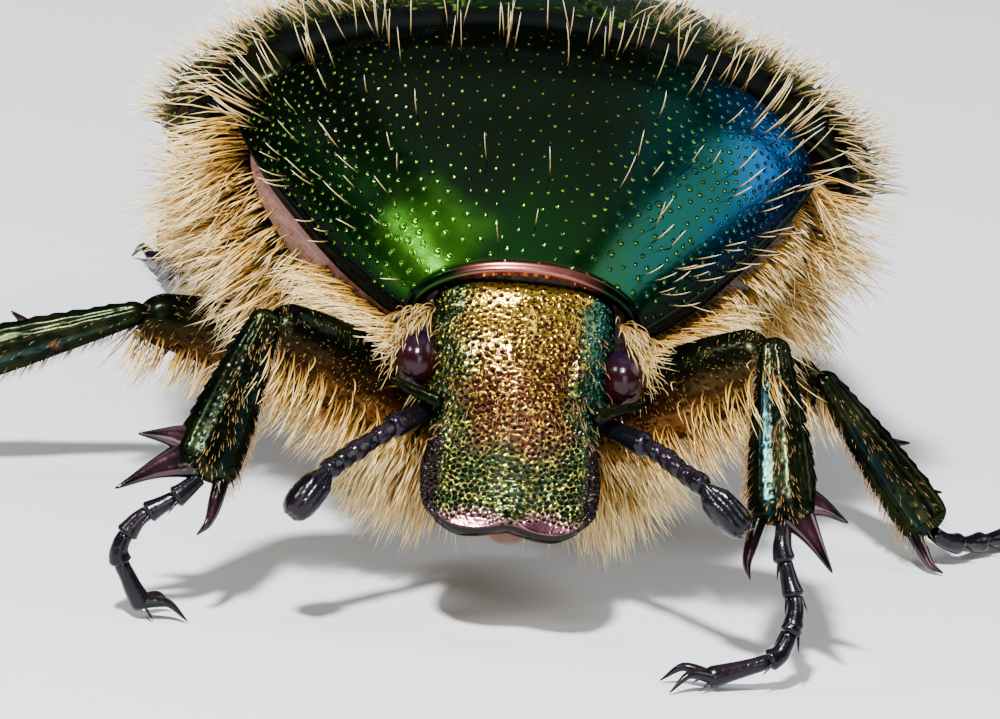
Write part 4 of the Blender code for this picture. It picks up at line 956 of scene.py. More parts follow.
def make_head(draw):
    distance = np.concatenate([np.linspace(-0.5, 0.1, 20), np.linspace(0.12, 3.6, 230),
                               np.linspace(3.61, HEAD_LENGTH, 22)])
    angle = np.concatenate([np.linspace(0, math.pi, 270),
                            np.linspace(math.pi, 2 * math.pi, 60)[1:-1]])
    d, a = np.meshgrid(distance, angle, indexing="ij")
    rings = head_surface(d, a)
    upper = np.clip(np.sin(a) * 3, 0, 1)
    x = rings[..., 0].copy()
    rings[..., 2] += face_relief(x, d) * upper
    end = ramp(d - HEAD_LENGTH, -0.1, 0.1)
    rings[..., 2] -= 0.09 * end ** 2 * np.sign(np.sin(a))
    head = ring_piece("head_capsule", in_head(rings), "face")
    lobe = 3.4 + 0.22 * crest(x, 0.22) + 0.25 * ramp(np.abs(x), 0.7, 0.4)
    rim = ramp(d, lobe, 0.25) * upper
    cheek = ramp(np.abs(x), 1.02, 0.12) * ramp(d, 2.1, 0.25)
    cheek = np.maximum(cheek, ramp(d - HEAD_LENGTH, -0.14, 0.08))
    below = np.sin(a) < -0.05
    mark(head, "margin", rim)
    mark(head, "cheek", np.where(below, 1.0, cheek))
    spacing = 0.098 - 0.03 * ramp(d, 1.8, 0.6)
    engrave(head, draw, 0.041, 0.038, np.where(below | (rim > 0.75), 0.0, spacing))
    placed(head, "golden_cuticle", "head")

    ridges = []
    for side in (LEFT, RIGHT):
        route = smooth_route(
            [(side * 1.1, -1.94, -0.22, 0.13), (side * 1.35, -1.86, -0.26, 0.1),
             (side * 1.65, -1.74, -0.34, 0.08), (side * 1.95, -1.6, -0.48, 0.05)], 24)
        size = route[:, 3] * rounded_ends(np.linspace(0, 1, 24), 0.15)
        ridge = limb_rings(route[:, :3], size, size * 0.7, (0, 1, 0), 24)
        ridges.append(ring_solid(in_head(ridge)))
    ridges = engrave(joined("cheek_ridges", ridges, "leg"), draw, 0.03, 0.014, 0.08)
    placed(ridges, "golden_cuticle")


PALP_ROWS = 60
PALP_JOINTS = ((0.0, 0.36), (0.36, 0.68), (0.68, 1.0))  # as shares of a palp's length


def make_mouth():
    """Lip below the clypeus, chin plate and palps."""
    lip = in_head(egg((0, -HEAD_LENGTH + 0.16, -0.5), (0.32, 0.24, 0.16)))
    chin = in_head(egg((0, -2.5, -1.6), (0.75, 0.9, 0.4)))
    solids = [ring_solid(lip), ring_solid(chin)]
    for side in (LEFT, RIGHT):
        route = smooth_route([(side * 0.45, -2.7, -1.75), (side * 0.76, -3.1, -1.72),
                              (side * 0.86, -3.55, -1.5)], PALP_ROWS + 1)
        for start, end in PALP_JOINTS:
            palp = route[int(start * PALP_ROWS) : int(end * PALP_ROWS) + 1]
            size = 0.17 * rounded_ends(np.linspace(0, 1, len(palp)), 0.35)
            solids.append(ring_solid(in_head(limb_rings(palp, size, size, (1, 0, 0), 16))))
    placed(joined("lip_chin_palps", solids, "mouth"), "mouth_brown", "mouthparts")


def make_eyes():
    x, y, z = EYE_CENTRE
    for side in (LEFT, RIGHT):
        rings = in_head(egg((side * x, y, z - 0.02), EYE_RADII, 40, 48))
        lens = joined("eye_lens_" + side_name(side), [ring_solid(rings)], "eye")
        placed(lens, "eye_garnet", "eye_" + side_name(side))


# The stalk of each feeler, from base over elbow to end, and both ends of its club
ANTENNAE = {
    "right": ([(-1.2, -8.42, 3.32), (-1.9, -9.15, 3.12), (-2.75, -9.9, 2.62)],
              [(-2.72, -9.88, 2.64), (-3.25, -10.1, 1.9)]),
    "left": ([(1.3, -8.42, 3.3), (2.0, -9.15, 3.22), (2.8, -9.9, 2.92)],
             [(2.78, -9.88, 2.93), (3.5, -10.1, 2.3)]),
}
FEELER_BEADS = 5


def make_antenna(side, stalk, club, draw):
    """A long wrinkled first joint, five uneven beads, and a club of three leaves lying together."""
    base, elbow, end = (np.array(p) for p in stalk)
    across = unit((0.3, -0.9, 0.3))
    ends = rounded_ends(np.linspace(0, 1, 40), 0.12)
    shaft = smooth_route([(*base, 0.15), (*(base * 0.6 + elbow * 0.4), 0.155), (*elbow, 0.2)], 40)
    size = shaft[:, 3] * ends
    solids = [ring_solid(limb_rings(shaft[:, :3], size, size, across, 28))]
    for k in range(FEELER_BEADS):
        start = elbow + (end - elbow) * (k / FEELER_BEADS - 0.02)
        stop = elbow + (end - elbow) * ((k + 1) / FEELER_BEADS + 0.03)
        t = np.linspace(0, 1, 16)
        tilt = np.array(draw.uniform(-0.02, 0.02, 3))
        swell = 0.87 + 0.2 * np.sin(math.pi * t ** 1.5)
        size = (0.142 + 0.008 * k) * draw.uniform(0.9, 1.06) * swell
        centres = start + (stop - start) * t[:, None] + tilt
        solids.append(ring_solid(limb_rings(centres, size, size * 0.92, across, 24)))
    start, stop = (np.array(p) for p in club)
    long = stop - start
    flat = unit(np.cross(long, across))
    t = np.linspace(0, 1, 40)
    shape = profile([(0, 0.11), (0.15, 0.16), (0.4, 0.25), (0.7, 0.285), (0.9, 0.22), (1, 0.06)])
    for leaf in (-1, 0, 1):
        spread = 0.1 * leaf * np.clip(t * 3, 0, 1) * (1 - 0.35 * t ** 3)
        centres = start + long * t[:, None] + flat * spread[:, None]
        breadth = shape(t) * (1 - 0.06 * abs(leaf))
        solids.append(ring_solid(limb_rings(centres, breadth, breadth * 0.58, across, 28)))
    piece = engrave(joined("feeler_" + side, solids, "horn"), draw, 0.03, 0.012, 0.09)
    placed(piece, "horn_black", "antenna_" + side)


# Legs

# Each tooth: its share of the way down the shin, how far it stands out, how far it leans towards
# the foot, and the size of its root
FRONT_RIGHT_TEETH = [(1.0, 0.98, 0.72, 0.24), (0.87, 0.98, 0.14, 0.24), (0.6, 0.38, 0.02, 0.12)]
FRONT_LEFT_TEETH = [(1.0, 0.56, 0.78, 0.24), (0.93, 0.84, 0.22, 0.24), (0.6, 0.38, 0.02, 0.12)]
REAR_TEETH = [(0.5, 0.44, 0.09, 0.12), (0.8, 0.4, 0.15, 0.1)]
SPUR_LENGTH, SPUR_TURN = 1.1, 0.18

# Each leg's hip, joints and foot as the solids have them, the half breadth of thigh and shin,
# and the way that the shin's outer edge faces
LEGS = {
    "front_right": dict(
        coxa=(-1.15, -6.15, 2.75), coxa_radii=(0.8, 0.75, 0.95), root=(-1.35, -6.75, 2.75),
        knee=(-3.85, -8.15, 4.3), ankle=(-4.62, -9.55, 2.2),
        foot=[(-4.9, -9.7, 1.95), (-5.5, -9.8, 1.5), (-5.7, -9.85, 1.05), (-5.5, -9.8, 0.6),
              (-5.25, -9.7, 0.17)],
        femur=0.66, tibia=0.5, outward=(-1.0, -0.1, 0.35), teeth=FRONT_RIGHT_TEETH, spur_turn=0.0),
    "front_left": dict(
        coxa=(1.15, -6.15, 2.75), coxa_radii=(0.8, 0.75, 0.95), root=(1.45, -6.75, 2.85),
        knee=(3.75, -8.15, 4.62), ankle=(4.08, -9.6, 2.35),
        foot=[(4.08, -9.82, 2.1), (4.22, -9.98, 1.65), (4.36, -10.2, 1.2), (4.2, -10.4, 0.62),
              (3.1, -10.65, 0.17)],
        femur=0.66, tibia=0.5, outward=(1.0, -0.1, 0.1), teeth=FRONT_LEFT_TEETH, spur_turn=0.24),
    "middle_right": dict(
        coxa=(-1.5, -1.1, 2.05), coxa_radii=(0.95, 0.7, 0.8), root=(-2.0, -1.25, 1.9),
        knee=(-5.7, -2.55, 2.75), ankle=(-9.0, -3.0, 1.6),
        foot=[(-9.2, -3.05, 1.4), (-9.5, -3.2, 1.05), (-9.72, -3.35, 0.7), (-9.9, -3.5, 0.42),
              (-10.15, -3.7, 0.17)],
        femur=0.58, tibia=0.4, outward=(-0.2, 0.2, 1.0), teeth=REAR_TEETH, spur_turn=SPUR_TURN),
    "middle_left": dict(
        coxa=(1.5, -1.1, 2.05), coxa_radii=(0.95, 0.7, 0.8), root=(2.0, -1.25, 1.9),
        knee=(5.1, -2.15, 2.6), ankle=(6.95, -3.0, 0.6),
        foot=[(7.2, -2.8, 0.42), (7.75, -2.1, 0.24), (8.35, -1.4, 0.2), (9.05, -0.8, 0.18),
              (9.85, -0.35, 0.17)],
        femur=0.58, tibia=0.4, outward=(0.8, 0.3, 0.6), teeth=REAR_TEETH, spur_turn=SPUR_TURN),
    "hind_right": dict(
        coxa=(-2.0, 3.2, 1.7), coxa_radii=(1.35, 0.7, 0.62), root=(-2.9, 3.5, 1.55),
        knee=(-4.85, 4.95, 2.75), ankle=(-5.0, 8.1, 1.0),
        foot=[(-5.0, 8.35, 0.85), (-5.02, 8.95, 0.55), (-5.06, 9.55, 0.3), (-5.14, 10.15, 0.2),
              (-5.25, 10.75, 0.17)],
        femur=0.62, tibia=0.45, outward=(-0.5, 0.1, 1.0), teeth=REAR_TEETH, spur_turn=SPUR_TURN),
    "hind_left": dict(
        coxa=(2.0, 3.2, 1.7), coxa_radii=(1.35, 0.7, 0.62), root=(2.9, 3.5, 1.55),
        knee=(4.9, 4.85, 2.7), ankle=(5.15, 7.95, 1.0),
        foot=[(5.17, 8.2, 0.85), (5.22, 8.8, 0.55), (5.3, 9.4, 0.3), (5.42, 10.0, 0.2),
              (5.6, 10.6, 0.17)],
        femur=0.62, tibia=0.45, outward=(0.5, 0.1, 1.0), teeth=REAR_TEETH, spur_turn=SPUR_TURN),
}
femur_share = profile(
    [(0.0, 0.6), (0.2, 0.9), (0.45, 1.0), (0.68, 0.92), (0.86, 0.76), (1.0, 0.62)]
)
tibia_share = profile(
    [(0.0, 0.42), (0.1, 0.5), (0.35, 0.73), (0.65, 0.96), (0.88, 1.04), (1.0, 0.86)]
)
FOOT_JOINTS = (0.0, 0.19, 0.36, 0.53, 0.7, 1.0)  # as shares of a foot's length


def outward_of(leg):
    """The direction of a shin's outer edge, square to the shin, and the shin's own direction."""
    along = unit(np.subtract(leg["ankle"], leg["knee"]))
    outward = np.array(leg["outward"], float)
    return unit(outward - along * along.dot(outward)), along


def make_thigh(key, leg, draw):
    fine = key.startswith("front")
    rows, sides, spacing = (110, 110, 0.12) if fine else (56, 56, 0.2)
    root, knee = np.array(leg["root"], float), np.array(leg["knee"], float)
    t = even_shares(rows)
    centres = root + (knee - root) * (t * 1.03 - 0.04)[:, None]
    breadth = leg["femur"] * femur_share(t) * rounded_ends(t, 0.1)
    rings = limb_rings(centres, breadth, breadth * 0.72, (0, 0, 1), sides)
    thigh = ring_piece("thigh_" + key, rings, "leg")
    mark(thigh, "streak", 0)
    underside = np.clip(0.35 - np.cos(whole_turn(sides)), 0, 1)
    mark(thigh, "amber", 0.75 * underside * np.clip(1.3 - t * 1.3, 0, 1)[:, None])
    engrave(thigh, draw, 0.034 if fine else 0.05, 0.018, spacing)
    placed(thigh, "bronze_leg", "femur_" + key)


def make_shin(key, leg, draw):
    """A flat shin that broadens to its end, ridged along its length and notched like a saw
    along its outer edge."""
    fine = key.startswith("front")
    rows, sides, spacing = (120, 110, 0.11) if fine else (60, 56, 0.2)
    knee, ankle = np.array(leg["knee"], float), np.array(leg["ankle"], float)
    outward, along = outward_of(leg)
    t = even_shares(rows)
    start = knee - along * 0.2
    centres = start + (ankle - start) * t[:, None]
    breadth = leg["tibia"] * tibia_share(t) * rounded_ends(t, 0.06)
    thickness = np.maximum(0.2, breadth * 0.6) * rounded_ends(t, 0.06)
    rings = limb_rings(centres, breadth, thickness, outward, sides, 2.5)
    turn = whole_turn(sides)
    shape = np.clip(t * 8, 0, 1) * np.clip((1 - t) * 12, 0, 1)
    outer = crest(np.minimum(turn, 2 * math.pi - turn), 0.35)
    saw = 0.035 * ((t * 13) % 1.0) * shape * (t < 0.8)
    ridges = 0.014 * np.cos(turn * 9) * np.abs(np.sin(turn))
    away = units(rings - centres[:, None])
    rings = rings + away * (saw[:, None] * outer + ridges * shape[:, None])[..., None]
    shin = ring_piece("shin_" + key, rings, "leg")
    lane = crest(np.cos(turn) + 0.35, 0.13) * np.ones_like(t)[:, None]
    lane *= 0.35 * ramp(t, 0.15, 0.3)[:, None]
    mark(shin, "streak", lane)
    engrave(shin, draw, 0.03 if fine else 0.05, 0.016, spacing)
    placed(shin, "bronze_leg", "tibia_" + key)


def make_teeth(key, leg):
    """Broad-rooted teeth on the outer edge of a shin, and the hooked spur at its tip, which
    stays clear of the floor."""
    knee, ankle = np.array(leg["knee"], float), np.array(leg["ankle"], float)
    outward, along = outward_of(leg)
    teeth = []
    for share, reach, lean, size in leg["teeth"]:
        base = knee + (ankle - knee) * min(share, 0.86) - along * 0.08
        out = leg["tibia"] * 0.35 + reach - 0.05
        tip = knee + (ankle - knee) * share + outward * out + along * lean
        bend = base * 0.45 + tip * 0.55 - along * 0.08
        route = smooth_route([base, bend, tip], 28)
        t = np.linspace(0, 1, 28)
        slender = 0.42 * (1 - t ** 2) ** 0.7
        broad = size * (1.5 * (1 - t) ** 2.2 + slender) + 0.012
        thick = size * (0.5 * (1 - t) ** 3 + slender) + 0.012
        teeth.append(ring_solid(limb_rings(route, broad, thick, along, 24)))
    base = ankle - along * 0.25 - outward * leg["tibia"] * 0.6
    tip = base + along * (SPUR_LENGTH - 0.04) - outward * leg["spur_turn"]
    tip[2] = max(tip[2], 0.06)
    low = base * 0.25 + tip * 0.75 - outward * 0.09
    low[2] = max(low[2], 0.12)
    bend = base * 0.6 + tip * 0.4 - outward * 0.06
    teeth.append(thorn([base, bend, low, tip], [0.13, 0.115, 0.07, 0.012], 28, 18))
    placed(joined("teeth_" + key, teeth, "tooth"), "bronze_leg")


def make_foot(key, leg):
    """Five joints, each narrow at its root and flared at its end, with spinules, and two claws."""
    route = smooth_route([leg["ankle"], *leg["foot"]], 121)
    gaps = np.concatenate([[0], np.cumsum(np.linalg.norm(np.diff(route, axis=0), axis=1))])

    def at(share):
        return np.array([np.interp(share * gaps[-1], gaps, route[:, c]) for c in range(3)])

    solids = []
    t = np.linspace(0, 1, 18)
    flare = (0.115 + 0.07 * t ** 2) * np.where(t > 0.93, 0.9, 1) * rounded_ends(t, 0.1)
    for start, end in zip(FOOT_JOINTS, FOOT_JOINTS[1:]):
        centres = np.array([at(max(0.0, start + (end - start) * (1.12 * s - 0.12))) for s in t])
        size = np.minimum(flare, np.maximum(centres[:, 2], 0.1))
        solids.append(ring_solid(limb_rings(centres, size, size, (0.2, 0.3, 1), 20)))
        forward = unit(at(end) - at(max(start, end - 0.05)))
        sideways = unit(np.cross(forward, (0, 0, 1)))
        for turn in (-1, 1):
            base = at(end - 0.02) + sideways * turn * 0.13
            tip = base + forward * 0.2 + sideways * turn * 0.09 - np.array([0, 0, 0.08])
            tip[2] = max(tip[2], 0.03)
            solids.append(thorn([base, (base + tip) / 2, tip], [0.025, 0.02, 0.004], 6, 8))
    tip = at(1.0)
    forward = unit(at(1.0) - at(0.93))
    ahead = unit([forward[0], forward[1], 0])
    sideways = unit(np.cross(ahead, (0, 0, 1)))
    for turn in (-1, 1):
        base = tip - forward * 0.12 + sideways * turn * 0.06
        rise = tip + ahead * 0.26 + sideways * turn * 0.18 + np.array([0, 0, 0.13])
        end = tip + ahead * 0.6 + sideways * turn * 0.3
        end[2] = 0.04
        solids.append(thorn([base, rise, end], [0.095, 0.07, 0.01], 20, 14))
    placed(joined("foot_" + key, solids, "horn"), "horn_black", "tarsus_" + key)


def make_leg(key, leg, draw):
    hip = joined("hip_" + key, [ring_solid(egg(leg["coxa"], leg["coxa_radii"]))], "leg")
    placed(hip, "bronze_leg", "coxa_" + key)
    make_thigh(key, leg, draw)
    make_shin(key, leg, draw)
    make_teeth(key, leg)
    make_foot(key, leg)


# Hair

HAIR_SECTIONS, HAIR_TAPER = 5, 0.55
LOWEST_TIP, HIGHEST_TIP = 0.04, 8.5
SLANT = np.array([0.36, 0.48, 0.8])  # a direction that no hair lies along
TUFT = 0.003  # the size of a hair's patch on the OFBake map

# How many hairs each coat has, on each side where it has two
THORAX_HAIRS, PROTHORAX_HAIRS, SHIELD_BRISTLES, WING_BRISTLES = 2500, 1250, 900, 680
BEARD_HAIRS, SHOULDER_HAIRS, EYE_HAIRS, FACE_HAIRS = 1050, 520, 150, 170
# Hairs of a thigh's fringe, its length, and the short bristles of a thigh
LEG_HAIRS = {"front": (420, 1.1, 380), "middle": (280, 0.9, 160), "hind": (240, 0.7, 160)}


def hair_piece(name, roots, away, lie, length, radius, unwrap, material, slot, bend=0.9):
    """A coat of single hairs, each a thin tapering thread that leaves its root along away and
    bends towards lie. Unwrap is each root's place on its skin, from 0 to 1 both ways. A hair
    that would reach the floor or past the part's top is made shorter."""
    count = len(roots)
    away, lie = units(away), units(lie)
    t = np.linspace(0, 1, HAIR_SECTIONS)
    turn = bend * t * t / 2
    reach = away[:, None] * (t - turn)[None, :, None] + lie[:, None] * turn[None, :, None]
    rise = reach[:, -1, 2] * length
    room = np.where(rise < 0, roots[:, 2] - LOWEST_TIP, HIGHEST_TIP - roots[:, 2])
    length = length * np.clip(room / np.maximum(np.abs(rise), 1e-6), 0.02, 1)
    centres = roots[:, None] + length[:, None, None] * reach
    share = (bend * t)[None, :, None]
    along = units(away[:, None] * (1 - share) + lie[:, None] * share)
    side = units(np.cross(along, SLANT))
    up = np.cross(along, side)
    thin = radius[:, None] * (1 - HAIR_TAPER * t)[None, :]
    corners = []
    for k in range(3):
        angle = 2 * math.pi * k / 3
        offset = side * math.cos(angle) + up * math.sin(angle)
        corners.append(centres[:, :-1] + offset[:, :-1] * thin[:, :-1, None])
    tube = np.stack(corners, axis=2).reshape(count, -1, 3)
    points = np.concatenate([tube, centres[:, -1:]], axis=1)
    each = points.shape[1]
    faces, marks = [], []
    for k in range(HAIR_SECTIONS - 2):
        for c in range(3):
            d = (c + 1) % 3
            faces.append((3 * k + c, 3 * k + d, 3 * k + 3 + d, 3 * k + 3 + c))
            marks.append([(c, k), (c + 1, k), (c + 1, k + 1), (c, k + 1)])
    below = HAIR_SECTIONS - 2
    tip, last = each - 1, 3 * below
    for c in range(3):
        faces.append((last + c, last + (c + 1) % 3, tip))
        marks.append([(c, below), (c + 1, below), (c + 0.5, below + 1)])
    faces.append((2, 1, 0))
    marks.append([(2, 0), (1, 0), (0, 0)])

    sizes = np.array([len(f) for f in faces])
    one = np.concatenate([np.array(f) for f in faces])
    loops = (one[None] + each * np.arange(count)[:, None]).ravel()
    mesh = bpy.data.meshes.new(name)
    mesh.vertices.add(count * each)
    mesh.vertices.foreach_set("co", (points * MM).astype(np.float32).ravel())
    mesh.loops.add(len(loops))
    mesh.loops.foreach_set("vertex_index", loops.astype(np.int32))
    totals = np.tile(sizes, count)
    mesh.polygons.add(len(totals))
    starts = np.concatenate([[0], np.cumsum(totals)[:-1]])
    mesh.polygons.foreach_set("loop_start", starts.astype(np.int32))
    mesh.update(calc_edges=True)

    spread = np.concatenate([np.array(m, float) for m in marks]) / [3.0, HAIR_SECTIONS - 1] * TUFT
    uv = (unwrap[:, None] * 0.99 + spread[None]).reshape(-1, 2)
    layer = mesh.uv_layers.new(name="OFBake")
    layer.uv.foreach_set("vector", uv.astype(np.float32).ravel())
    shade = mesh.attributes.new("along", "FLOAT", "POINT")
    shares = np.concatenate([np.repeat(t[:-1], 3), [1.0]])
    shade.data.foreach_set("value", np.tile(shares, count).astype(np.float32))
    mesh.shade_smooth()
    made = bpy.data.objects.new(name, mesh)
    bpy.context.scene.collection.objects.link(made)
    mesh.materials.append(LOOK[material])
    return placed(made, slot)


def surface_roots(surface, u, v, step=0.004):
    """Places and normals of a surface at arrays of its two values."""
    here = surface(u, v)
    one, other = surface(u + step, v) - here, surface(u, v + step) - here
    return here, units(np.cross(one, other))


def turned_to(normal, way):
    """Normals flipped, where they need it, to the side that the way points to."""
    return normal * np.where(np.sum(normal * way, axis=1) < 0, -1, 1)[:, None]


def scattered(draw, vectors, amount):
    return vectors + draw.normal(0, amount, vectors.shape)


# Large primes pick a lean for each cell of a coat, so that cells side by side differ
CELL_PRIMES, LEAN_COUNT = np.array([73856093, 19349663, 83492791]), 997


def clumped(draw, places, size, amount):
    """A lean that neighbouring hairs share, so that the coat parts into tufts."""
    cells = np.floor(places / size).astype(int)
    leans = draw.normal(0, amount, (LEAN_COUNT, 3))
    return leans[(cells @ CELL_PRIMES) % LEAN_COUNT]


def map_half(side):
    """Where a side's coat starts on its OFBake map: the left side takes the second half."""
    return 0.5 if side > 0 else 0


def under_margin(side, fall):
    """The angle of a place on the prothorax that lies this far below its side edge."""
    return 2 * math.pi - fall if side > 0 else math.pi + fall


def make_thorax_coat(draw):
    """Straw hair down the sides of the thorax, longest in front, shorter towards the belly."""
    for side in (LEFT, RIGHT):
        y = 0.1 + 6.3 * draw.random(THORAX_HAIRS) ** 1.35
        fall = np.radians(np.where(y < 1.2, -4, 6) + 74 * draw.random(THORAX_HAIRS))
        angle = -fall if side > 0 else math.pi + fall
        place, normal = surface_roots(trunk_surface, y, angle)
        normal = turned_to(normal, np.array([side, 0.0, -0.3]))
        fore = np.exp(-y / 2.2)[:, None]
        lean = clumped(draw, place, 0.45, 0.22)
        away = scattered(draw, normal + lean + fore * [side * 0.1, -0.6, 0.1], 0.2)
        hang = fore * [side * 0.2, -0.1, 0.1] + [0, 0.35, -0.5]
        lie = scattered(draw, normal * 0.6 + lean + hang, 0.16)
        length = (0.95 + 1.0 * np.exp(-y / 2.6)) * draw.uniform(0.7, 1.15, THORAX_HAIRS)
        radius = draw.uniform(0.013, 0.021, THORAX_HAIRS)
        unwrap = np.stack([np.clip(y / 7, 0, 1), (fall + 0.2) / 3 + map_half(side)], axis=1)
        hair_piece("thorax_coat_" + side_name(side), place, away, lie, length, radius, unwrap,
                   "hair", "golden_hair")


def make_shield_coat(draw):
    """Hair of the prothorax's underside, sparse on the pink skin beside the right margin."""
    for side in (LEFT, RIGHT):
        share = draw.random(PROTHORAX_HAIRS) * 0.94 + 0.03
        fall = np.radians(3 + 83 * draw.random(PROTHORAX_HAIRS) ** (1.1 if side > 0 else 0.5))
        place, normal = surface_roots(shield_surface, share, under_margin(side, fall))
        normal = turned_to(normal, np.array([side, 0.0, -0.8]))
        lean = clumped(draw, place, 0.4, 0.2)
        away = scattered(draw, normal + lean + [side * 0.15, -0.5, 0.1], 0.18)
        lie = scattered(draw, normal * 0.4 + lean + [side * 0.3, -0.15, -0.7], 0.14)
        length = (0.5 + 0.85 * (fall / 1.4)) * draw.uniform(0.7, 1.2, PROTHORAX_HAIRS)
        radius = draw.uniform(0.012, 0.02, PROTHORAX_HAIRS)
        unwrap = np.stack([share, fall / 3.2 + map_half(side)], axis=1)
        hair_piece("shield_coat_" + side_name(side), place, away, lie, length, radius, unwrap,
                   "hair", "golden_hair")


def make_shield_bristles(draw):
    """Sparse pale bristles that stand up from the shield, thickest along its rear and sides."""
    share = draw.random(SHIELD_BRISTLES) * 0.92 + 0.02
    angle = math.pi * (0.02 + 0.96 * draw.random(SHIELD_BRISTLES))
    wanted = 0.03 + 0.25 * (1 - np.sin(angle)) + 0.26 * (share < 0.3)
    keep = draw.random(SHIELD_BRISTLES) < wanted
    share, angle = share[keep], angle[keep]
    place, normal = surface_roots(shield_surface, share, angle)
    normal = turned_to(normal, np.array([0, 0, 1.0]) + place * [0.3, 0, 0])
    away = scattered(draw, normal + [0, -0.1, 0.1], 0.14)
    lie = scattered(draw, normal * 0.7 + [0, 0.3, 0.3], 0.2)
    length = draw.uniform(0.35, 0.75, len(share)) + 0.25 * (share < 0.3)
    radius = draw.uniform(0.01, 0.015, len(share))
    unwrap = np.stack([share, angle / 3.3], axis=1)
    hair_piece("shield_bristles", place, away, lie, length, radius, unwrap, "bristle",
               "golden_hair", 0.5)


def make_wing_bristles(draw):
    """Short pale hair over the wing cases, long and raised at the shoulders."""
    for side in (LEFT, RIGHT):
        y = WING_START + 0.05 + 11.2 * draw.random(WING_BRISTLES) ** 1.7
        share = draw.random(WING_BRISTLES) ** 0.7 * 0.98 + 0.01

        def surface(distance, across):
            return in_trunk(wing_surface(distance, across) * [side, 1, 1])

        place, normal = surface_roots(surface, y, share)
        normal = turned_to(normal, np.array([side * 0.6, 0, 1.0]))
        fore = np.exp(-y)[:, None]
        away = scattered(draw, normal + fore * [side * 0.4, -0.9, 0.3], 0.22)
        lie = scattered(draw, normal * 0.6 + fore * [side * 1.2, -0.5, -1.2] + [0, 0.3, 0], 0.22)
        length = (0.26 + 1.15 * np.exp(-y / 1.5)) * draw.uniform(0.7, 1.2, WING_BRISTLES)
        radius = draw.uniform(0.011, 0.017, WING_BRISTLES)
        unwrap = np.stack([y / 12.5, share / 2.1 + map_half(side)], axis=1)
        hair_piece("wing_bristles_" + side_name(side), place, away, lie, length, radius, unwrap,
                   "bristle", "green_cuticle", 0.6)


# The thinnest and thickest radius of the hairs on a limb, and their slot in the record
LIMB_COATS = {"hair": (0.011, 0.018, "golden_hair"), "dark_bristle": (0.004, 0.0065, "bronze_leg")}


def limb_hair(name, route, size, facing, count, length, spread, lean, material, draw):
    """Hair along a straight limb, rooted round the side of it that faces the given way. Lean is
    how far the hairs tip towards the limb's end."""
    start, end = (np.array(p, float) for p in route)
    along = unit(end - start)
    facing = np.array(facing, float)
    facing = unit(facing - along * along.dot(facing))
    side = np.cross(along, facing)
    t = draw.random(count)
    angle = draw.normal(0, spread, count)
    normal = facing * np.cos(angle)[:, None] + side * np.sin(angle)[:, None]
    place = start + (end - start) * t[:, None] + normal * size(t)[:, None]
    away = scattered(draw, normal + along * lean, 0.15)
    lie = scattered(draw, normal * 0.5 + along * (lean + 0.3) + [0, -0.1, -0.4], 0.12)
    unwrap = np.stack([t, (angle / 6.4) % 0.98], axis=1)
    length = length * draw.uniform(0.6, 1.15, count)
    thinnest, thickest, slot = LIMB_COATS[material]
    radius = draw.uniform(thinnest, thickest, count)
    hair_piece(name, place, away, lie, length, radius, unwrap, material, slot)


def make_leg_hair(draw):
    """Fringes under the thighs and inside the shins, and short stiff hairs over both."""
    for key, leg in LEGS.items():
        outward, _ = outward_of(leg)
        femur, tibia = leg["femur"], leg["tibia"]
        thigh, shin = (leg["root"], leg["knee"]), (leg["knee"], leg["ankle"])
        count, length, short = LEG_HAIRS[key.split("_")[0]]
        limb_hair("thigh_fringe_" + key, thigh, lambda t: femur * 0.72 * femur_share(t),
                  (0, -0.25, -1), count, length, 0.45, 0.2, "hair", draw)
        limb_hair("thigh_bristles_" + key, thigh, lambda t: femur * 0.7 * femur_share(t),
                  (0, -0.9, 0.5), short, 0.26, 0.9, 0.5, "dark_bristle", draw)
        limb_hair("shin_fringe_" + key, shin, lambda t: tibia * 0.9 * tibia_share(t),
                  -outward, count, 0.3, 0.22, 0.8, "dark_bristle", draw)
        limb_hair("shin_bristles_" + key, shin, lambda t: tibia * 0.6 * tibia_share(t),
                  outward * 0.3 + [0, -1.0, 0.2], short, 0.2, 1.1, 0.8, "dark_bristle", draw)


def make_beard(draw):
    """Long hair of the front hips, which hangs beside and below the face."""
    for key, side in (("front_right", RIGHT), ("front_left", LEFT)):
        leg = LEGS[key]
        way = units(draw.normal(0, 1, (BEARD_HAIRS, 3)) + [side * 0.8, -0.6, -0.6])
        way[:, 2] = -np.abs(way[:, 2])
        place = np.array(leg["coxa"]) + way * leg["coxa_radii"]
        lean = clumped(draw, place, 0.3, 0.16)
        away = scattered(draw, way + lean + [side * 0.3, -0.5, -0.1], 0.14)
        lie = scattered(draw, way * 0.25 + lean + [side * 0.3, -0.15, -1.0], 0.12)
        length = 1.4 * draw.uniform(0.6, 1.15, BEARD_HAIRS)
        radius = draw.uniform(0.012, 0.02, BEARD_HAIRS)
        unwrap = 0.5 + 0.45 * way[:, :2]
        hair_piece("beard_" + key, place, away, lie, length, radius, unwrap, "hair", "golden_hair")


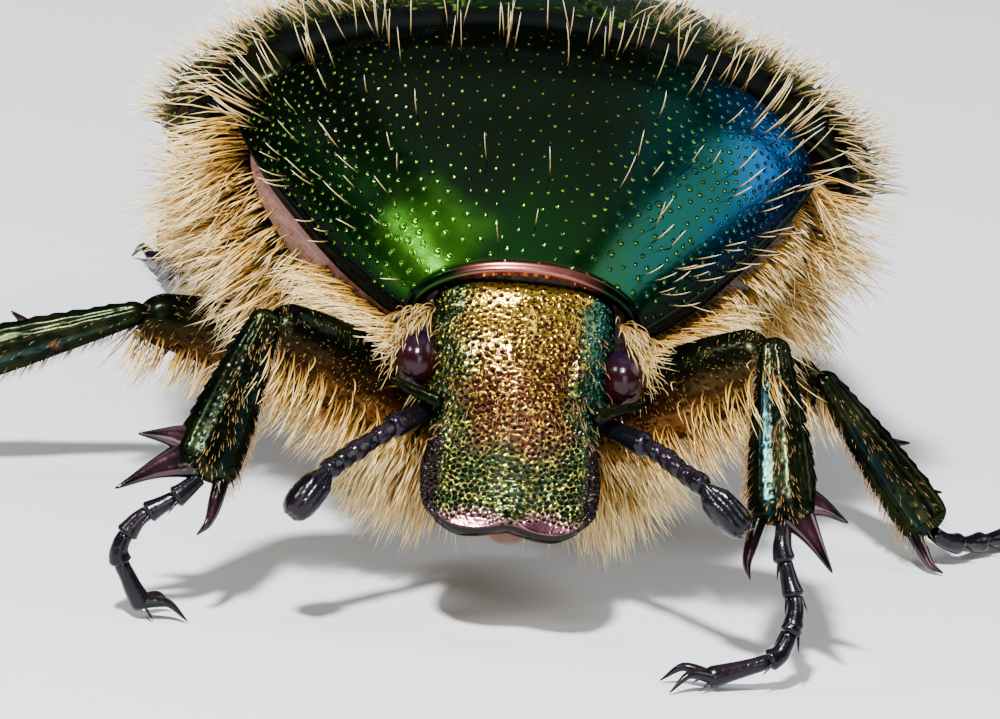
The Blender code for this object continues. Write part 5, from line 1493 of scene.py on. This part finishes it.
def make_shoulder_tufts(draw):
    """Long hair of the prothorax's front corners, which arches up behind the thighs."""
    for side in (LEFT, RIGHT):
        share = 0.62 + 0.34 * draw.random(SHOULDER_HAIRS)
        fall = np.radians(8 + 34 * draw.random(SHOULDER_HAIRS))
        place, normal = surface_roots(shield_surface, share, under_margin(side, fall))
        normal = turned_to(normal, np.array([side, 0.0, -0.5]))
        away = scattered(draw, normal * 0.5 + [side * 0.5, -0.5, 0.5], 0.14)
        lie = scattered(draw, np.tile([side * 1.0, -0.2, -0.1], (SHOULDER_HAIRS, 1)), 0.2)
        length = draw.uniform(0.7, 1.3, SHOULDER_HAIRS)
        radius = draw.uniform(0.011, 0.017, SHOULDER_HAIRS)
        unwrap = np.stack([share, fall / 3.2 + map_half(side)], axis=1)
        hair_piece("shoulder_tuft_" + side_name(side), place, away, lie, length, radius, unwrap,
                   "hair", "golden_hair")


def make_face_hair(draw):
    """Golden tufts outside and above the eyes, and fine short hair over the face."""
    for side in (LEFT, RIGHT):
        spread = draw.random(EYE_HAIRS)
        x = side * (1.35 + 0.6 * spread)
        y = -0.5 - 1.1 * spread * draw.random(EYE_HAIRS)
        z = -0.35 - 0.5 * spread
        place = in_head(np.stack([x, y, z], axis=-1))
        away = scattered(draw, np.tile([side * 0.5, -0.8, 0.3], (EYE_HAIRS, 1)), 0.3)
        lie = scattered(draw, np.tile([side * 0.15, -0.7, -0.8], (EYE_HAIRS, 1)), 0.25)
        length = draw.uniform(0.35, 0.75, EYE_HAIRS)
        unwrap = np.stack([spread * 0.9, draw.random(EYE_HAIRS) * 0.4 + map_half(side)], axis=1)
        radius = draw.uniform(0.005, 0.008, EYE_HAIRS)
        hair_piece("eye_tuft_" + side_name(side), place, away, lie, length, radius, unwrap, "hair",
                   "golden_hair")
    distance = draw.uniform(0.7, 2.5, FACE_HAIRS)
    angle = np.radians(draw.uniform(25, 155, FACE_HAIRS))
    place, normal = surface_roots(lambda d, a: in_head(head_surface(d, a)), distance, angle)
    normal = turned_to(normal, np.array([0, -1.0, 0.3]))
    away = scattered(draw, normal + [0, 0, -0.5], 0.25)
    lie = scattered(draw, normal * 0.3 + [0, -0.2, -1.0], 0.2)
    length = draw.uniform(0.12, 0.3, FACE_HAIRS)
    radius = draw.uniform(0.005, 0.008, FACE_HAIRS)
    unwrap = np.stack([distance / 4, angle / 3.3], axis=1)
    hair_piece("face_hair", place, away, lie, length, radius, unwrap, "dark_bristle", "golden_hair")


# Studio

FLOOR_REACH = 600.0


def make_floor():
    corners = np.array([(-1, -1, 0), (1, -1, 0), (1, 1, 0), (-1, 1, 0)]) * FLOOR_REACH
    mesh_object("floor", corners, [(0, 1, 2, 3)], studio_card())


# Soft round lights: place, size and power. A small key light stands above the camera, and weaker
# ones at both sides, in front and above.
LIGHTS = {
    "key_light": ((-25, -95, 115), 12, 0.85),
    "left_light": ((-115, -40, 95), 24, 0.12),
    "right_light": ((120, -5, 95), 110, 0.15),
    "front_light": ((20, -150, 40), 70, 0.08),
    "top_light": ((0, 40, 170), 170, 0.08),
}
SURROUND, SURROUND_STRENGTH = "#9aa0aa", 0.16


def make_lights():
    """The lights, which all point at the beetle, and a dim even surround."""
    for name, (place, size, power) in LIGHTS.items():
        light = bpy.data.lights.new(name, "AREA")
        light.shape = "DISK"
        light.size = size * MM
        light.energy = power
        made = bpy.data.objects.new(name, light)
        made.location = Vector(place) * MM
        made.rotation_euler = (LIT_PLACE - Vector(place)).to_track_quat("-Z", "Y").to_euler()
        bpy.context.scene.collection.objects.link(made)
    world = bpy.data.worlds.new("studio")
    bpy.context.scene.world = world
    world.use_nodes = True
    surround = world.node_tree.nodes["Background"]
    wire(world.node_tree, surround, {"Color": SURROUND, "Strength": SURROUND_STRENGTH})


def make_camera():
    angles = (CAMERA_AZIMUTH, CAMERA_ELEVATION, CAMERA_ROLL)
    azimuth, elevation, roll = (math.radians(angle) for angle in angles)
    flat = math.cos(elevation)
    back = Vector((math.sin(azimuth) * flat, -math.cos(azimuth) * flat, math.sin(elevation)))
    level = Vector((math.cos(azimuth), math.sin(azimuth), 0))
    upright = back.cross(level)
    right = level * math.cos(roll) + upright * math.sin(roll)
    up = upright * math.cos(roll) - level * math.sin(roll)
    camera = bpy.data.cameras.new("camera")
    camera.lens, camera.sensor_width = LENS, SENSOR
    camera.clip_start, camera.clip_end = 0.001, 2.0
    made = bpy.data.objects.new("camera", camera)
    place = Matrix((right, up, back)).transposed().to_4x4()
    place.translation = (CAMERA_TARGET + back * CAMERA_DISTANCE) * MM
    made.matrix_world = place
    bpy.context.scene.collection.objects.link(made)
    bpy.context.scene.camera = made


SEED = 11


def main():
    draw = np.random.default_rng(SEED)
    make_camera()
    make_lights()
    make_floor()
    make_shield(draw)
    make_shield_underside()
    make_wing_case(LEFT, "wing_shell_left", "wing_case_left", draw)
    make_wing_case(RIGHT, "wing_shell_right", "wing_case_right", draw)
    make_scutellum(draw)
    make_thorax()
    make_waist()
    make_abdomen(draw)
    make_pygidium(draw)
    make_head(draw)
    make_mouth()
    make_eyes()
    for side, (stalk, club) in ANTENNAE.items():
        make_antenna(side, stalk, club, draw)
    for key, leg in LEGS.items():
        make_leg(key, leg, draw)
    make_thorax_coat(draw)
    make_shield_coat(draw)
    make_shield_bristles(draw)
    make_wing_bristles(draw)
    make_leg_hair(draw)
    make_beard(draw)
    make_shoulder_tufts(draw)
    make_face_hair(draw)


main()
